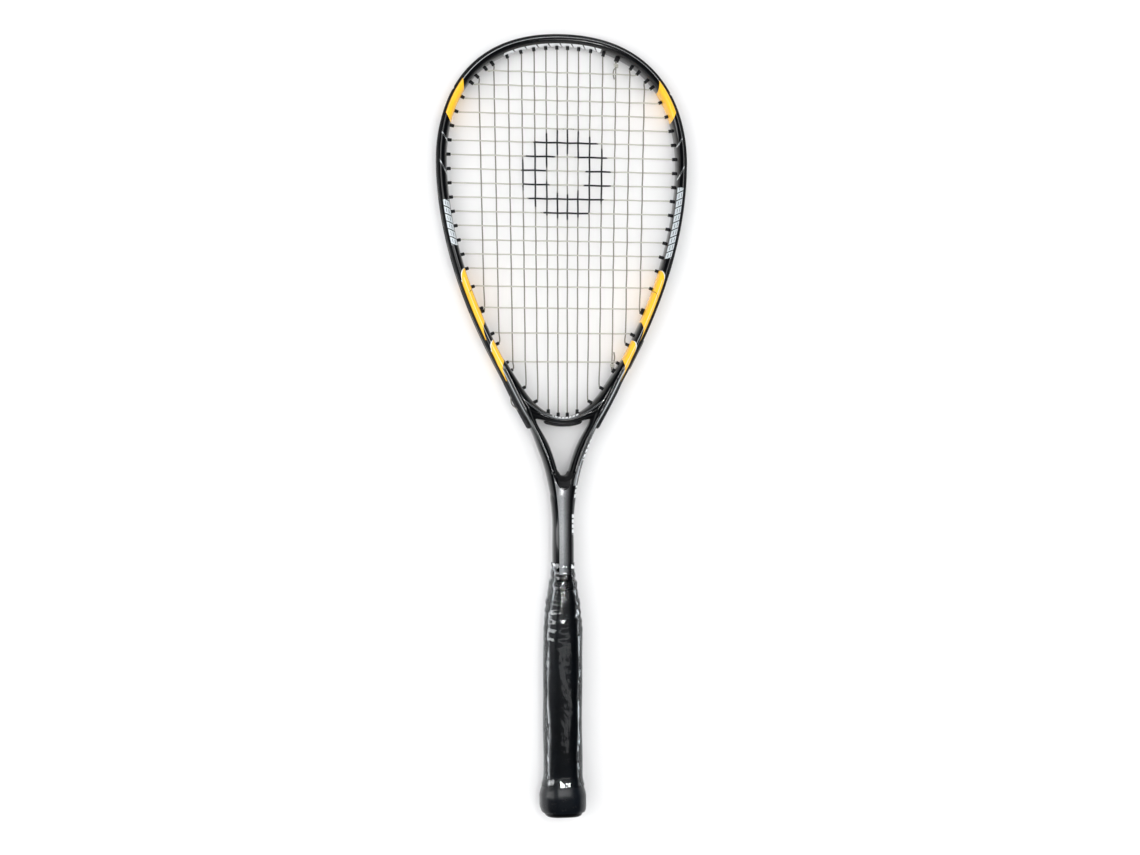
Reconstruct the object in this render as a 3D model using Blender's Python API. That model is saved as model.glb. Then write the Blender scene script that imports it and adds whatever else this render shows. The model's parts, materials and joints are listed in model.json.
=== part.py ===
"""Squash racket, lying flat on its face: butt towards -Y, head towards +Y, string bed level.

Every shape is worked out in the racket's own frame: Y runs from the butt end to the head,
X across the head, and Z is square to the string bed, which lies at Z = 0. The whole racket
hangs on one empty, which tilts it by a fraction of a degree so that the flared butt and the
crown of the head both touch the ground.

The frame is a hairpin tube of carbon composite. Its two legs run side by side down the
shaft into the handle, a bridge closes the strung area, and grommet strips line the holes
for one long string, which is laced first through the mains and then woven across them.
"""

import math

import bmesh
import bpy
from mathutils import Matrix, Vector

MM = 0.001
GAP = 0.3 * MM

# Centre line of the frame tube, left half, in the racket's own frame.
CROWN_Y = 680.4 * MM
SIDE = (105.8 * MM, 575.0 * MM)
FLANK = (47.1 * MM, 380.7 * MM)
FLANK_ANGLE = math.radians(24.7)
LEG_X = 4.02 * MM
LEG_TOP_Y = 240.0 * MM
LEG_END_Y = 18.0 * MM
CROWN_PULL = 90.0 * MM
SIDE_PULL_UP = 37.0 * MM
SIDE_PULL_DOWN = 97.0 * MM
FLANK_PULL_UP = 16.4 * MM
FLANK_PULL_DOWN = 55.0 * MM
LEG_PULL = 80.0 * MM

# Frame tube section: half width in the plane of the head, half depth square to it.
HEAD_HALF_WIDTH = 3.4 * MM
ARM_HALF_WIDTH = 5.2 * MM
LEG_HALF_WIDTH = 3.87 * MM
HEAD_HALF_DEPTH = 10.0 * MM
LEG_HALF_DEPTH = 8.3 * MM
HEAD_START_Y = 322.0 * MM
HEAD_FULL_Y = 341.0 * MM
WALL = 1.2 * MM
GROOVE_DEPTH = 0.9 * MM
GROOVE_HALF = 0.46
GROOVE_LIP_HALF = 0.52
GROOVE_END_Y = 328.0 * MM

# Grommet strips: heights are measured outwards from the tube's centre line.
STRIP_SEAT = HEAD_HALF_WIDTH - GROOVE_DEPTH + GAP
STRIP_FLOOR = STRIP_SEAT + 0.95 * MM
STRIP_RIM = 5.3 * MM
STRIP_HALF = 4.3 * MM
FLANGE_HALF = 6.2 * MM
CHANNEL_HALF = 3.3 * MM
BARREL_RADIUS = 1.5 * MM
BORE_RADIUS = 1.05 * MM
HOLE_RADIUS = 1.85 * MM
TIE_OFF_EXTRA = 0.85 * MM
BARREL_PROUD = 3.2 * MM
STRIP_JOINT_Y = 633.0 * MM
STRIP_END_Y = 341.0 * MM
BARREL_SIDES = 6

# Throat bridge: its upper edge is a parabola.
ARCH_Y = 349.5 * MM
ARCH_CURVE = 0.0193 / MM
ARCH_END_X = 41.0 * MM
BRIDGE_THICK = 7.0 * MM
BRIDGE_THICK_CURVE = 0.0075 / MM
BRIDGE_HALF_DEPTH = 9.0 * MM
THROAT_STRIP_HALF_X = 12.3 * MM
CROTCH_Y = 302.4 * MM
CROTCH_RADIUS = 4.7 * MM

# Stringing pattern.
MAINS_PER_SIDE = 7
CROSSES = 19
EVEN_CROSSES = 15
FIRST_CROSS_Y = 652.8 * MM
CROSS_PITCH = 12.4 * MM
CROSS_PITCH_GROWTH = 3.2 * MM
MAIN_PITCH_TOP = (9.2 * MM, 0.33 * MM)
MAIN_PITCH_BOTTOM = (7.9 * MM, 0.42 * MM)
STRING_RADIUS = 0.62 * MM
WEAVE = 0.78 * MM
LANE = 1.55 * MM
KNOT_RADIUS = 1.62 * MM
KNOT_PITCH = 1.75 * MM

# Shaft and handle: half width and half depth of each layer.
SHAFT_WRAP_INNER = (8.6 * MM, 8.9 * MM)
SHAFT_WRAP_WALL = 0.8 * MM
SHAFT_WRAP_OUTER = (9.4 * MM, 9.7 * MM)
SHAFT_WRAP_TOP_Y = 283.0 * MM
ARMS_START_Y = 250.0 * MM
ARMS_FULL_Y = 300.0 * MM
FOAM_GRIP = (13.0 * MM, 11.1 * MM)
FOAM_CAP_SEAT = (12.4 * MM, 10.9 * MM)
FOAM_NECK = (11.0 * MM, 10.9 * MM)
FOAM_START_Y = 5.0 * MM
CAP_TOP_Y = 36.0 * MM
SHOULDER_Y = 165.0 * MM
FOAM_TOP_Y = 188.0 * MM
CAP_FLARE = (17.2 * MM, 14.9 * MM)
GRIP_THICK = 1.8 * MM
GRIP_START_Y = 4.0 * MM
GRIP_TOP_Y = 204.0 * MM
TAPE_THICK = 0.35 * MM
TAPE_START_Y = 198.0 * MM
TAPE_TOP_Y = 211.0 * MM
FILM_THICK = 0.3 * MM
FILM_TOP_Y = 221.0 * MM
STAPLE_Y = 25.0 * MM
STAPLE_HALF = 4.0 * MM
STAPLE_LEG = 4.0 * MM
STAPLE_WIRE = 0.4 * MM
HANDLE_ROUND = 0.62
SHAFT_ROUND = 0.55

HANDLE_SIDES = 16
UP = Vector((0.0, 0.0, 1.0))


# --- scene, materials and objects -------------------------------------------------------

def clear_scene():
    for thing in list(bpy.data.objects):
        bpy.data.objects.remove(thing, do_unlink=True)


def new_collection(name):
    collection = bpy.data.collections.new(name)
    bpy.context.scene.collection.children.link(collection)
    return collection


def material(name, colour, roughness, metallic=0.0, alpha=1.0):
    made = bpy.data.materials.new(name)
    made.use_nodes = True
    shader = made.node_tree.nodes["Principled BSDF"]
    shader.inputs["Base Color"].default_value = (*colour, 1.0)
    shader.inputs["Roughness"].default_value = roughness
    shader.inputs["Metallic"].default_value = metallic
    shader.inputs["Alpha"].default_value = alpha
    return made


def add_mesh(name, bm, collection, look=None):
    bmesh.ops.recalc_face_normals(bm, faces=bm.faces)
    mesh = bpy.data.meshes.new(name)
    bm.to_mesh(mesh)
    bm.free()
    thing = bpy.data.objects.new(name, mesh)
    collection.objects.link(thing)
    if look:
        mesh.materials.append(look)
        mesh.shade_smooth()
        mesh.set_sharp_from_angle(angle=math.radians(40.0))
    return thing


def add_cutter(name, bm, collection):
    thing = add_mesh(name, bm, collection)
    thing.hide_render = True
    thing.display_type = "WIRE"
    return thing


def boolean(target, other, operation="DIFFERENCE"):
    step = target.modifiers.new(other.name, "BOOLEAN")
    step.operation = operation
    step.object = other
    step.solver = "EXACT"


# --- basic shapes -----------------------------------------------------------------------

def loft(bm, sections):
    """Skin closed sections in order, and close both ends."""
    rings = []
    for section in sections:
        rings.append([bm.verts.new(point) for point in section])
    sides = len(rings[0])
    for first, second in zip(rings, rings[1:]):
        for k in range(sides):
            after = (k + 1) % sides
            bm.faces.new((first[k], first[after], second[after], second[k]))
    bm.faces.new(rings[0])
    bm.faces.new(rings[-1])


def pipe(bm, outer_sections, inner_sections):
    """Skin a tube with open ends from outer and inner sections."""
    outer = [[bm.verts.new(point) for point in section] for section in outer_sections]
    inner = [[bm.verts.new(point) for point in section] for section in inner_sections]
    for rings in (outer, inner):
        sides = len(rings[0])
        for first, second in zip(rings, rings[1:]):
            for k in range(sides):
                after = (k + 1) % sides
                bm.faces.new((first[k], first[after], second[after], second[k]))
    for end in (0, -1):
        edges = []
        for ring in (outer[end], inner[end]):
            for k in range(len(ring)):
                edges.append(bm.edges.get((ring[k], ring[(k + 1) % len(ring)])))
        bmesh.ops.triangle_fill(bm, use_beauty=True, edges=edges)


def rod(bm, start, end, radius, sides=BARREL_SIDES):
    """A prism of `sides` between two points, with one corner towards +Z."""
    along = end - start
    axis = along.normalized()
    across = axis.cross(UP).normalized()
    turn = Matrix((across.cross(axis), across, axis)).transposed().to_4x4()
    place = Matrix.Translation((start + end) / 2) @ turn
    bmesh.ops.create_cone(bm, cap_ends=True, segments=sides, radius1=radius, radius2=radius,
                          depth=along.length, matrix=place)


def box(bm, low, high):
    low = Vector(low)
    high = Vector(high)
    place = Matrix.Translation((low + high) / 2) @ Matrix.Diagonal((*(high - low), 1.0))
    bmesh.ops.create_cube(bm, size=1.0, matrix=place)


def soft_square(half_width, half_depth, y, roundness, sides=HANDLE_SIDES):
    """A square with well rounded corners, in the plane at y."""
    points = []
    for k in range(sides):
        angle = math.tau * k / sides
        c = math.cos(angle)
        s = math.sin(angle)
        x = math.copysign(abs(c) ** roundness, c) * half_width
        z = math.copysign(abs(s) ** roundness, s) * half_depth
        points.append(Vector((x, y, z)))
    return points


def grown(size, amount):
    return (size[0] + amount, size[1] + amount)


# --- centre line of the frame -----------------------------------------------------------

def bezier(p0, p1, p2, p3, count):
    points = []
    for k in range(count):
        t = k / count
        s = 1.0 - t
        points.append(p0 * s ** 3 + p1 * 3 * s * s * t + p2 * 3 * s * t * t + p3 * t ** 3)
    return points


def half_centre_line():
    """Left half, from the leg's lower end to the point before the crown."""
    down = Vector((math.sin(FLANK_ANGLE), -math.cos(FLANK_ANGLE), 0.0))
    leg = Vector((-LEG_X, LEG_TOP_Y, 0.0))
    flank = Vector((-FLANK[0], FLANK[1], 0.0))
    side = Vector((-SIDE[0], SIDE[1], 0.0))
    crown = Vector((0.0, CROWN_Y, 0.0))
    north = Vector((0.0, 1.0, 0.0))
    east = Vector((1.0, 0.0, 0.0))
    points = [Vector((-LEG_X, LEG_END_Y, 0.0))]
    points += bezier(leg, leg + north * LEG_PULL, flank + down * FLANK_PULL_DOWN, flank, 10)
    points += bezier(flank, flank - down * FLANK_PULL_UP, side - north * SIDE_PULL_DOWN, side, 11)
    points += bezier(side, side + north * SIDE_PULL_UP, crown - east * CROWN_PULL, crown, 10)
    return points


class CentreLine:
    """The frame's centre line as a chain of stations, which every swept part shares."""

    def __init__(self):
        left = half_centre_line()
        right = [Vector((-p.x, p.y, 0.0)) for p in reversed(left)]
        self.points = left + [Vector((0.0, CROWN_Y, 0.0))] + right
        self.inward = []
        last = len(self.points) - 1
        for k in range(last + 1):
            before = self.points[max(k - 1, 0)]
            after = self.points[min(k + 1, last)]
            along = (after - before).normalized()
            self.inward.append(Vector((along.y, -along.x, 0.0)))
        self.last = last
        self.crown = last / 2

    def place(self, t, u, z=0.0):
        """The point at station t, u inwards of the centre line and z above the string bed."""
        k = min(int(t), self.last - 1)
        f = t - k
        here = self.points[k] + self.inward[k] * u
        there = self.points[k + 1] + self.inward[k + 1] * u
        point = here.lerp(there, f)
        return Vector((point.x, point.y, z))

    def find(self, test, low, high):
        """The station between low and high where test changes sign."""
        sign = test(low) > 0
        for _ in range(50):
            middle = (low + high) / 2
            if (test(middle) > 0) == sign:
                low = middle
            else:
                high = middle
        return (low + high) / 2

    def at_y(self, y, u=0.0, side=-1):
        """The station at height y, on the left (-1) or the right (1) half."""
        t = self.find(lambda s: self.place(s, u).y - y, 0.0, self.crown)
        return t if side < 0 else self.last - t

    def stations(self, start, end):
        """Start, every whole station in between, and end."""
        inner = [float(k) for k in range(math.floor(start) + 1, math.ceil(end))]
        return [start] + inner + [end]

    def step(self, t, distance):
        """The station a distance further along."""
        k = min(int(t), self.last - 1)
        return t + distance / (self.points[k + 1] - self.points[k]).length


LINE = CentreLine()


def blend(low, high, low_value, high_value, y):
    f = min(max((y - low) / (high - low), 0.0), 1.0)
    return low_value + (high_value - low_value) * f


def half_width(y):
    if y < ARMS_FULL_Y:
        return blend(ARMS_START_Y, ARMS_FULL_Y, LEG_HALF_WIDTH, ARM_HALF_WIDTH, y)
    return blend(HEAD_START_Y, HEAD_FULL_Y, ARM_HALF_WIDTH, HEAD_HALF_WIDTH, y)


def half_depth(y):
    return blend(ARMS_START_Y, ARMS_FULL_Y, LEG_HALF_DEPTH, HEAD_HALF_DEPTH, y)


def tube_outline(a, b, groove):
    """The tube's outer section as (u, z): round inside, with a seat for the strips outside."""
    upper = [(a, 0.42 * b), (0.62 * a, 0.84 * b), (0.0, b), (-0.62 * a, 0.86 * b)]
    upper += [(-a, GROOVE_LIP_HALF * b), (-a + groove, GROOVE_HALF * b)]
    return upper + [(u, -z) for u, z in reversed(upper)]


def hollow_outline(a, b, groove):
    upper = [(a - WALL, 0.38 * b), (0.0, b - WALL), (-a + groove + WALL, 0.42 * b)]
    return upper + [(u, -z) for u, z in reversed(upper)]


def tube_sections(outline, grow=0.0):
    sections = []
    for t in range(LINE.last + 1):
        y = LINE.points[t].y
        groove = GROOVE_DEPTH if y > GROOVE_END_Y else 0.0
        if grow:
            groove = 0.0
        shape = outline(half_width(y) + grow, half_depth(y) + grow, groove)
        sections.append([LINE.place(t, u, z) for u, z in shape])
    return sections


# --- holes and barrels ------------------------------------------------------------------

def main_x(k, rates):
    n = k - 0.5
    return rates[0] * n + rates[1] * n * n


def arch_point(x):
    return Vector((x, ARCH_Y + ARCH_CURVE * x * x, 0.0))


def arch_down(x):
    """Unit vector square to the arch's upper edge, away from the strings."""
    slope = 2 * ARCH_CURVE * x
    return Vector((slope, -1.0, 0.0)).normalized()


def cross_y(j):
    y = FIRST_CROSS_Y - CROSS_PITCH * (min(j, EVEN_CROSSES) - 1)
    pitch = CROSS_PITCH
    for _ in range(j - EVEN_CROSSES):
        pitch += CROSS_PITCH_GROWTH
        y -= pitch
    return y


class Barrel:
    """One grommet barrel: its station on the frame, its mouth and the strip it is part of."""

    def __init__(self, t, reach, strip, wide=False):
        self.t = t
        self.strip = strip
        self.wide = wide
        self.mouth = LINE.place(t, reach)

    def at(self, height, z=0.0):
        """A point on the barrel's axis, at a height outwards of the centre line."""
        return LINE.place(self.t, -height, z)


class BridgeBarrel:
    """A barrel straight down through the bridge."""

    def __init__(self, x):
        self.x = x
        self.strip = "throat"
        self.wide = False
        self.mouth = arch_point(x) + Vector((0.0, BARREL_PROUD, 0.0))

    def at(self, height, z=0.0):
        """A point on the axis, at a height below the bridge's lower face."""
        low = -ARCH_END_X
        high = ARCH_END_X
        for _ in range(40):
            middle = (low + high) / 2
            if below_bridge(middle, height).x < self.x:
                low = middle
            else:
                high = middle
        point = below_bridge(low, height)
        return Vector((point.x, point.y, z))


def bridge_thickness(x):
    """Thickness square to the arch, ending on the frame's centre line near the flanks."""
    wanted = BRIDGE_THICK + BRIDGE_THICK_CURVE * x * x
    start = arch_point(abs(x))
    down = arch_down(abs(x))
    low = 0.0
    high = 30.0 * MM
    for _ in range(40):
        middle = (low + high) / 2
        point = start + down * middle
        inside = point.x < LINE.place(LINE.at_y(point.y, 0.0, 1), 0.0).x
        if inside:
            low = middle
        else:
            high = middle
    return min(wanted, low)


def below_bridge(x, height):
    """The point under the arch's point x, at a height below the bridge's lower face."""
    return arch_point(x) + arch_down(x) * (bridge_thickness(x) + height)


REACH = HEAD_HALF_WIDTH + BARREL_PROUD


def frame_barrel_at_y(y, side, strip):
    return Barrel(LINE.at_y(y, REACH, side), REACH, strip)


def frame_barrel_at_x(x, low, high, strip, wide=False):
    t = LINE.find(lambda s: LINE.place(s, REACH).x - x, low, high)
    return Barrel(t, REACH, strip, wide)


def junction_barrel(x, strip):
    """A long barrel from the arch through the end of the bridge and the frame tube."""
    foot = x
    for _ in range(20):
        foot = x + arch_down(foot).x * BARREL_PROUD
    mouth = arch_point(foot) - arch_down(foot) * BARREL_PROUD
    half = (0.0, LINE.crown) if x < 0 else (LINE.crown, float(LINE.last))

    def ahead(s):
        here = LINE.place(s, 0.0)
        along = LINE.place(min(s + 0.01, LINE.last), 0.0) - here
        return (mouth - here).dot(along)

    t = LINE.find(ahead, half[0] + 1.5, half[1] - 1.5)
    reach = (mouth - LINE.place(t, 0.0)).length
    return Barrel(t, reach, strip)


def make_barrels():
    """Every barrel, by the name of the string run that ends in it."""
    barrels = {}
    flank_left = LINE.at_y(FLANK[1], 0.0, -1)
    side_left = LINE.at_y(SIDE[1], 0.0, -1)
    for k in range(1, MAINS_PER_SIDE + 1):
        for side in (-1, 1):
            number = 8 - k if side < 0 else 7 + k
            top = side * main_x(k, MAIN_PITCH_TOP)
            bottom = side * main_x(k, MAIN_PITCH_BOTTOM)
            tie = number == 12
            strip = "left" if side < 0 else "right"
            barrels["top", number] = frame_barrel_at_x(
                top, side_left, LINE.last - side_left, "bumper", tie)
            if k <= 2:
                barrels["bottom", number] = BridgeBarrel(bottom)
            elif k <= 4:
                barrels["bottom", number] = junction_barrel(bottom, strip)
            elif side < 0:
                barrels["bottom", number] = frame_barrel_at_x(
                    bottom, flank_left - 2, side_left, strip)
            else:
                barrels["bottom", number] = frame_barrel_at_x(
                    bottom, LINE.last - side_left, LINE.last - flank_left + 2, strip, tie)
    for j in range(1, CROSSES + 1):
        for side, name in ((-1, "left"), (1, "right")):
            strip = "bumper" if j <= 2 else name
            barrels[name, j] = frame_barrel_at_y(cross_y(j), side, strip)
    return barrels


BARRELS = make_barrels()


def barrel_rods(bm, names, radius, low, high):
    """Rods on the barrels' axes, from `low` outside to `high` past the mouth."""
    for name in names:
        barrel = BARRELS[name]
        extra = TIE_OFF_EXTRA if barrel.wide else 0.0
        start = barrel.at(low)
        axis = (barrel.mouth - start).normalized()
        rod(bm, start, barrel.mouth + axis * high, radius + extra)


def names_of(strip):
    return [name for name, barrel in BARRELS.items() if barrel.strip == strip]


# --- frame ------------------------------------------------------------------------------

def make_frame_tube(parts, cutters, look):
    bm = bmesh.new()
    pipe(bm, tube_sections(tube_outline), tube_sections(hollow_outline))
    tube = add_mesh("frame_tube", bm, parts, look)
    bm = bmesh.new()
    names = [name for name in BARRELS if BARRELS[name].strip != "throat"]
    barrel_rods(bm, names, HOLE_RADIUS, STRIP_RIM, 1.0 * MM)
    boolean(tube, add_cutter("frame_drills", bm, cutters))
    return tube


def frame_skin(cutters):
    """The tube's outside, grown by the gap, to trim what meets it."""
    bm = bmesh.new()
    loft(bm, tube_sections(tube_outline, GAP))
    return add_cutter("frame_skin", bm, cutters)


def make_bridge(parts, cutters, skin, look):
    bm = bmesh.new()
    sections = []
    steps = 20
    for k in range(steps + 1):
        x = ARCH_END_X * (2 * k / steps - 1)
        t = bridge_thickness(x)
        lip = min(1.8 * MM, 0.35 * t)
        d = BRIDGE_HALF_DEPTH
        shape = [(0.0, 0.45 * d), (lip, 0.9 * d), (0.5 * t, d), (t - lip, 0.9 * d), (t, 0.45 * d)]
        shape += [(v, -z) for v, z in reversed(shape)]
        here = arch_point(x)
        down = arch_down(x)
        sections.append([here + down * v + UP * z for v, z in shape])
    loft(bm, sections)
    bridge = add_mesh("throat_bridge", bm, parts, look)
    boolean(bridge, skin)
    bm = bmesh.new()
    barrel_rods(bm, names_of("throat"), HOLE_RADIUS, 1.0 * MM, 1.0 * MM)
    junction = [("bottom", n) for n in (4, 5, 10, 11)]
    barrel_rods(bm, junction, HOLE_RADIUS, 0.0, 1.0 * MM)
    boolean(bridge, add_cutter("bridge_drills", bm, cutters))
    return bridge


def make_wedge(parts, skin, look):
    """The filler in the crotch, between the two arms."""
    outline = [Vector((-8.0 * MM, 274.0 * MM, 0.0)), Vector((8.0 * MM, 274.0 * MM, 0.0))]
    outline.append(Vector((9.0 * MM, CROTCH_Y - CROTCH_RADIUS * 0.35, 0.0)))
    for k in range(9):
        angle = math.radians(-20.0 - 140.0 * k / 8)
        x = CROTCH_RADIUS * math.cos(angle)
        y = CROTCH_Y + CROTCH_RADIUS * math.sin(angle)
        outline.append(Vector((x, y, 0.0)))
    outline.append(Vector((-9.0 * MM, CROTCH_Y - CROTCH_RADIUS * 0.35, 0.0)))
    bm = bmesh.new()
    half = 8.0 * MM
    loft(bm, [[p - UP * half for p in outline], [p + UP * half for p in outline]])
    wedge = add_mesh("throat_wedge", bm, parts, look)
    boolean(wedge, skin)
    return wedge


def wrap_inner(y):
    """Inside of the wrap: it opens out where the legs part."""
    reach = -LINE.place(LINE.at_y(y), -half_width(y)).x
    a = max(SHAFT_WRAP_INNER[0], 1.045 * reach + 0.35 * MM)
    b = max(SHAFT_WRAP_INNER[1], half_depth(y) + 0.5 * MM)
    return a, b


def make_shaft_wrap(parts, look):
    outer = []
    inner = []
    ys = [LEG_END_Y + 2 * MM, ARMS_START_Y, 261 * MM, 272 * MM, SHAFT_WRAP_TOP_Y - 2 * MM]
    for y in ys + [SHAFT_WRAP_TOP_Y]:
        wall = SHAFT_WRAP_WALL if y < SHAFT_WRAP_TOP_Y else 0.4 * MM
        inner.append(soft_square(*wrap_inner(y), y, SHAFT_ROUND))
        outer.append(soft_square(*grown(wrap_inner(y), wall), y, SHAFT_ROUND))
    bm = bmesh.new()
    pipe(bm, outer, inner)
    return add_mesh("shaft_wrap", bm, parts, look)


# --- grommet strips ---------------------------------------------------------------------

def strip_outline():
    """Section of a strip as (height outwards, z): seat, flanges, rims and string channel."""
    upper = [(STRIP_SEAT, STRIP_HALF), (HEAD_HALF_WIDTH + GAP, STRIP_HALF)]
    upper += [(HEAD_HALF_WIDTH + GAP, FLANGE_HALF), (4.7 * MM, FLANGE_HALF)]
    upper += [(STRIP_RIM, 5.4 * MM), (STRIP_RIM, 4.0 * MM), (STRIP_FLOOR, CHANNEL_HALF)]
    return upper + [(h, -z) for h, z in reversed(upper)]


def finish_strip(name, bm, strip, outside, inside, parts, cutters, look):
    """Join a strip's band with its barrels, then bore them."""
    band = add_mesh(name, bm, parts, look)
    names = names_of(strip)
    bm = bmesh.new()
    barrel_rods(bm, names, BARREL_RADIUS, inside, 0.0)
    boolean(band, add_cutter(name + "_barrels", bm, cutters), "UNION")
    bm = bmesh.new()
    barrel_rods(bm, names, BORE_RADIUS, outside, 1.0 * MM)
    boolean(band, add_cutter(name + "_bores", bm, cutters))
    return band


def make_frame_strip(name, strip, start, end, parts, cutters, look):
    bm = bmesh.new()
    sections = []
    for t in LINE.stations(start, end):
        sections.append([LINE.place(t, -h, z) for h, z in strip_outline()])
    loft(bm, sections)
    middle = (STRIP_SEAT + STRIP_FLOOR) / 2
    return finish_strip(name, bm, strip, STRIP_RIM, middle, parts, cutters, look)


def make_throat_strip(parts, cutters, look):
    floor = 1.3 * MM
    rim = 2.7 * MM
    upper = [(GAP, 3.6 * MM), (rim - 0.5 * MM, 3.6 * MM), (rim, 3.0 * MM), (rim, 2.2 * MM)]
    upper.append((floor, 2.0 * MM))
    outline = upper + [(v, -z) for v, z in reversed(upper)]
    sections = []
    steps = 8
    for k in range(steps + 1):
        x = THROAT_STRIP_HALF_X * (2 * k / steps - 1)
        sections.append([below_bridge(x, v) + UP * z for v, z in outline])
    bm = bmesh.new()
    loft(bm, sections)
    middle = (GAP + floor) / 2
    return finish_strip("throat_grommet_strip", bm, "throat", rim, middle, parts, cutters, look)


# --- the string -------------------------------------------------------------------------

LOOP_HEIGHT = STRIP_FLOOR + GAP + STRING_RADIUS
OVER_HEIGHT = LOOP_HEIGHT + LANE
THROAT_LOOP_HEIGHT = 1.3 * MM + GAP + STRING_RADIUS
CORNER = 0.9 * MM


def outside_run(start, end, lane=0.0, over=False, end_z=0.0, start_z=0.0):
    """The string from one barrel's bore, round the outside of its strip, into another's."""
    first = BARRELS[start]
    second = BARRELS[end]
    if first.strip == "throat":
        height = THROAT_LOOP_HEIGHT
        leave = first.at(height)
        arrive = second.at(height)
        return [first.at(height - CORNER), leave.lerp(arrive, 0.1),
                arrive.lerp(leave, 0.1), second.at(height - CORNER)]
    height = OVER_HEIGHT if over else LOOP_HEIGHT
    way = 1 if second.t > first.t else -1
    leave = LINE.step(first.t, way * CORNER)
    arrive = LINE.step(second.t, -way * CORNER)
    points = [first.at(height - CORNER, start_z), LINE.place(leave, -height, start_z)]
    if lane:
        out = LINE.step(first.t, way * 3.0 * MM)
        back = LINE.step(second.t, -way * 3.0 * MM)
        points.append(LINE.place(out, -height, lane))
    else:
        out = leave
        back = arrive
    inner = LINE.stations(min(out, back), max(out, back))[1:-1]
    for t in inner if way > 0 else reversed(inner):
        points.append(LINE.place(t, -height - 0.1 * MM, lane))
    if lane:
        points.append(LINE.place(back, -height, lane))
    points.append(LINE.place(arrive, -height, end_z))
    points.append(second.at(height - CORNER, end_z))
    return points


def crossing_height(main, cross):
    """Height of the main where it meets a cross; the cross has the opposite one."""
    return WEAVE if (main + cross) % 2 == 0 else -WEAVE


def main_ends(number):
    return BARRELS["bottom", number].mouth, BARRELS["top", number].mouth


def crossings():
    """Every (main, cross) pair that meets, with the point where they meet."""
    met = {}
    for number in range(1, 2 * MAINS_PER_SIDE + 1):
        low, high = main_ends(number)
        for j in range(1, CROSSES + 1):
            y = cross_y(j)
            if not low.y + 1.5 * MM < y < high.y - 1.5 * MM:
                continue
            x = low.x + (high.x - low.x) * (y - low.y) / (high.y - low.y)
            if abs(x) < BARRELS["right", j].mouth.x - 1.5 * MM:
                met[number, j] = Vector((x, y, 0.0))
    return met


def lifted(point, z):
    return Vector((point.x, point.y, z))


def knot_turns(axis_start, direction, sense):
    """Two turns round a string and a short tail; the first point lies just below it."""
    points = []
    turns = 2
    per_turn = 7
    across = direction.cross(UP)
    for k in range(turns * per_turn + 1):
        angle = -math.pi / 2 + sense * math.tau * k / per_turn
        along = direction * (KNOT_PITCH * k / per_turn)
        around = across * math.cos(angle) + UP * math.sin(angle)
        points.append(axis_start + along + around * KNOT_RADIUS)
    end = points[-1]
    points.append(end + across * (sense * 2.5 * MM) + direction * 1.5 * MM - UP * 0.8 * MM)
    return points


def string_route():
    """The whole string: from the lower knot up and down the mains, then across to the upper knot."""
    met = crossings()
    low_tie = BARRELS["bottom", 12]
    high_tie = BARRELS["top", 12]
    low_axis = (high_tie.mouth - low_tie.mouth).normalized()

    lower_knot = knot_turns(lifted(low_tie.mouth, WEAVE) + low_axis * 2.2 * MM, low_axis, 1)
    points = list(reversed(lower_knot))
    points.append(lifted(low_tie.mouth, -WEAVE))
    tail = outside_run(("bottom", 14), ("bottom", 12), -LANE, end_z=-WEAVE)
    points += reversed(tail)

    end = "bottom"
    for number in range(14, 0, -1):
        far = "top" if end == "bottom" else "bottom"
        own_z = WEAVE if number == 12 else 0.0
        points.append(lifted(BARRELS[end, number].mouth, own_z))
        columns = [j for j in range(1, CROSSES + 1) if (number, j) in met]
        if end == "bottom":
            columns.reverse()
        for j in columns:
            points.append(lifted(met[number, j], crossing_height(number, j)))
        points.append(lifted(BARRELS[far, number].mouth, own_z))
        end = far
        if number == 1:
            break
        lane = LANE if number in (14, 2) and end == "top" else 0.0
        if end == "bottom" and number in (13, 3):
            lane = LANE
        start_z = WEAVE if number == 12 else 0.0
        end_z = WEAVE if number - 1 == 12 else 0.0
        points += outside_run((end, number), (end, number - 1), lane,
                              start_z=start_z, end_z=end_z)

    points += outside_run(("bottom", 1), ("left", 19), -LANE)
    side = "left"
    for j in range(CROSSES, 0, -1):
        far = "right" if side == "left" else "left"
        points.append(BARRELS[side, j].mouth.copy())
        row = [n for n in range(1, 2 * MAINS_PER_SIDE + 1) if (n, j) in met]
        if side == "right":
            row.reverse()
        for n in row:
            points.append(lifted(met[n, j], -crossing_height(n, j)))
        points.append(BARRELS[far, j].mouth.copy())
        side = far
        if j == 1:
            break
        lane = 0.0
        if side == "left" and j == 18:
            lane = LANE
        if side == "left" and j == 2:
            lane = -LANE
        over = side == "right" and j == 19
        points += outside_run((side, j), (side, j - 1), lane, over)

    points += outside_run(("right", 1), ("top", 12), -LANE, end_z=-WEAVE)
    points.append(lifted(high_tie.mouth, -WEAVE))
    points += knot_turns(lifted(high_tie.mouth, WEAVE) - low_axis * 2.2 * MM, -low_axis, 1)
    return points


def make_string(parts, look):
    curve = bpy.data.curves.new("string", "CURVE")
    curve.dimensions = "3D"
    curve.bevel_depth = STRING_RADIUS
    curve.bevel_resolution = 0
    curve.use_fill_caps = True
    points = string_route()
    spline = curve.splines.new("POLY")
    spline.points.add(len(points) - 1)
    for node, point in zip(spline.points, points):
        node.co = (*point, 1.0)
    thing = bpy.data.objects.new("string", curve)
    curve.materials.append(look)
    parts.objects.link(thing)
    return thing


# --- handle -----------------------------------------------------------------------------

def mixed(first, second, f):
    return (first[0] + (second[0] - first[0]) * f, first[1] + (second[1] - first[1]) * f)


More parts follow.
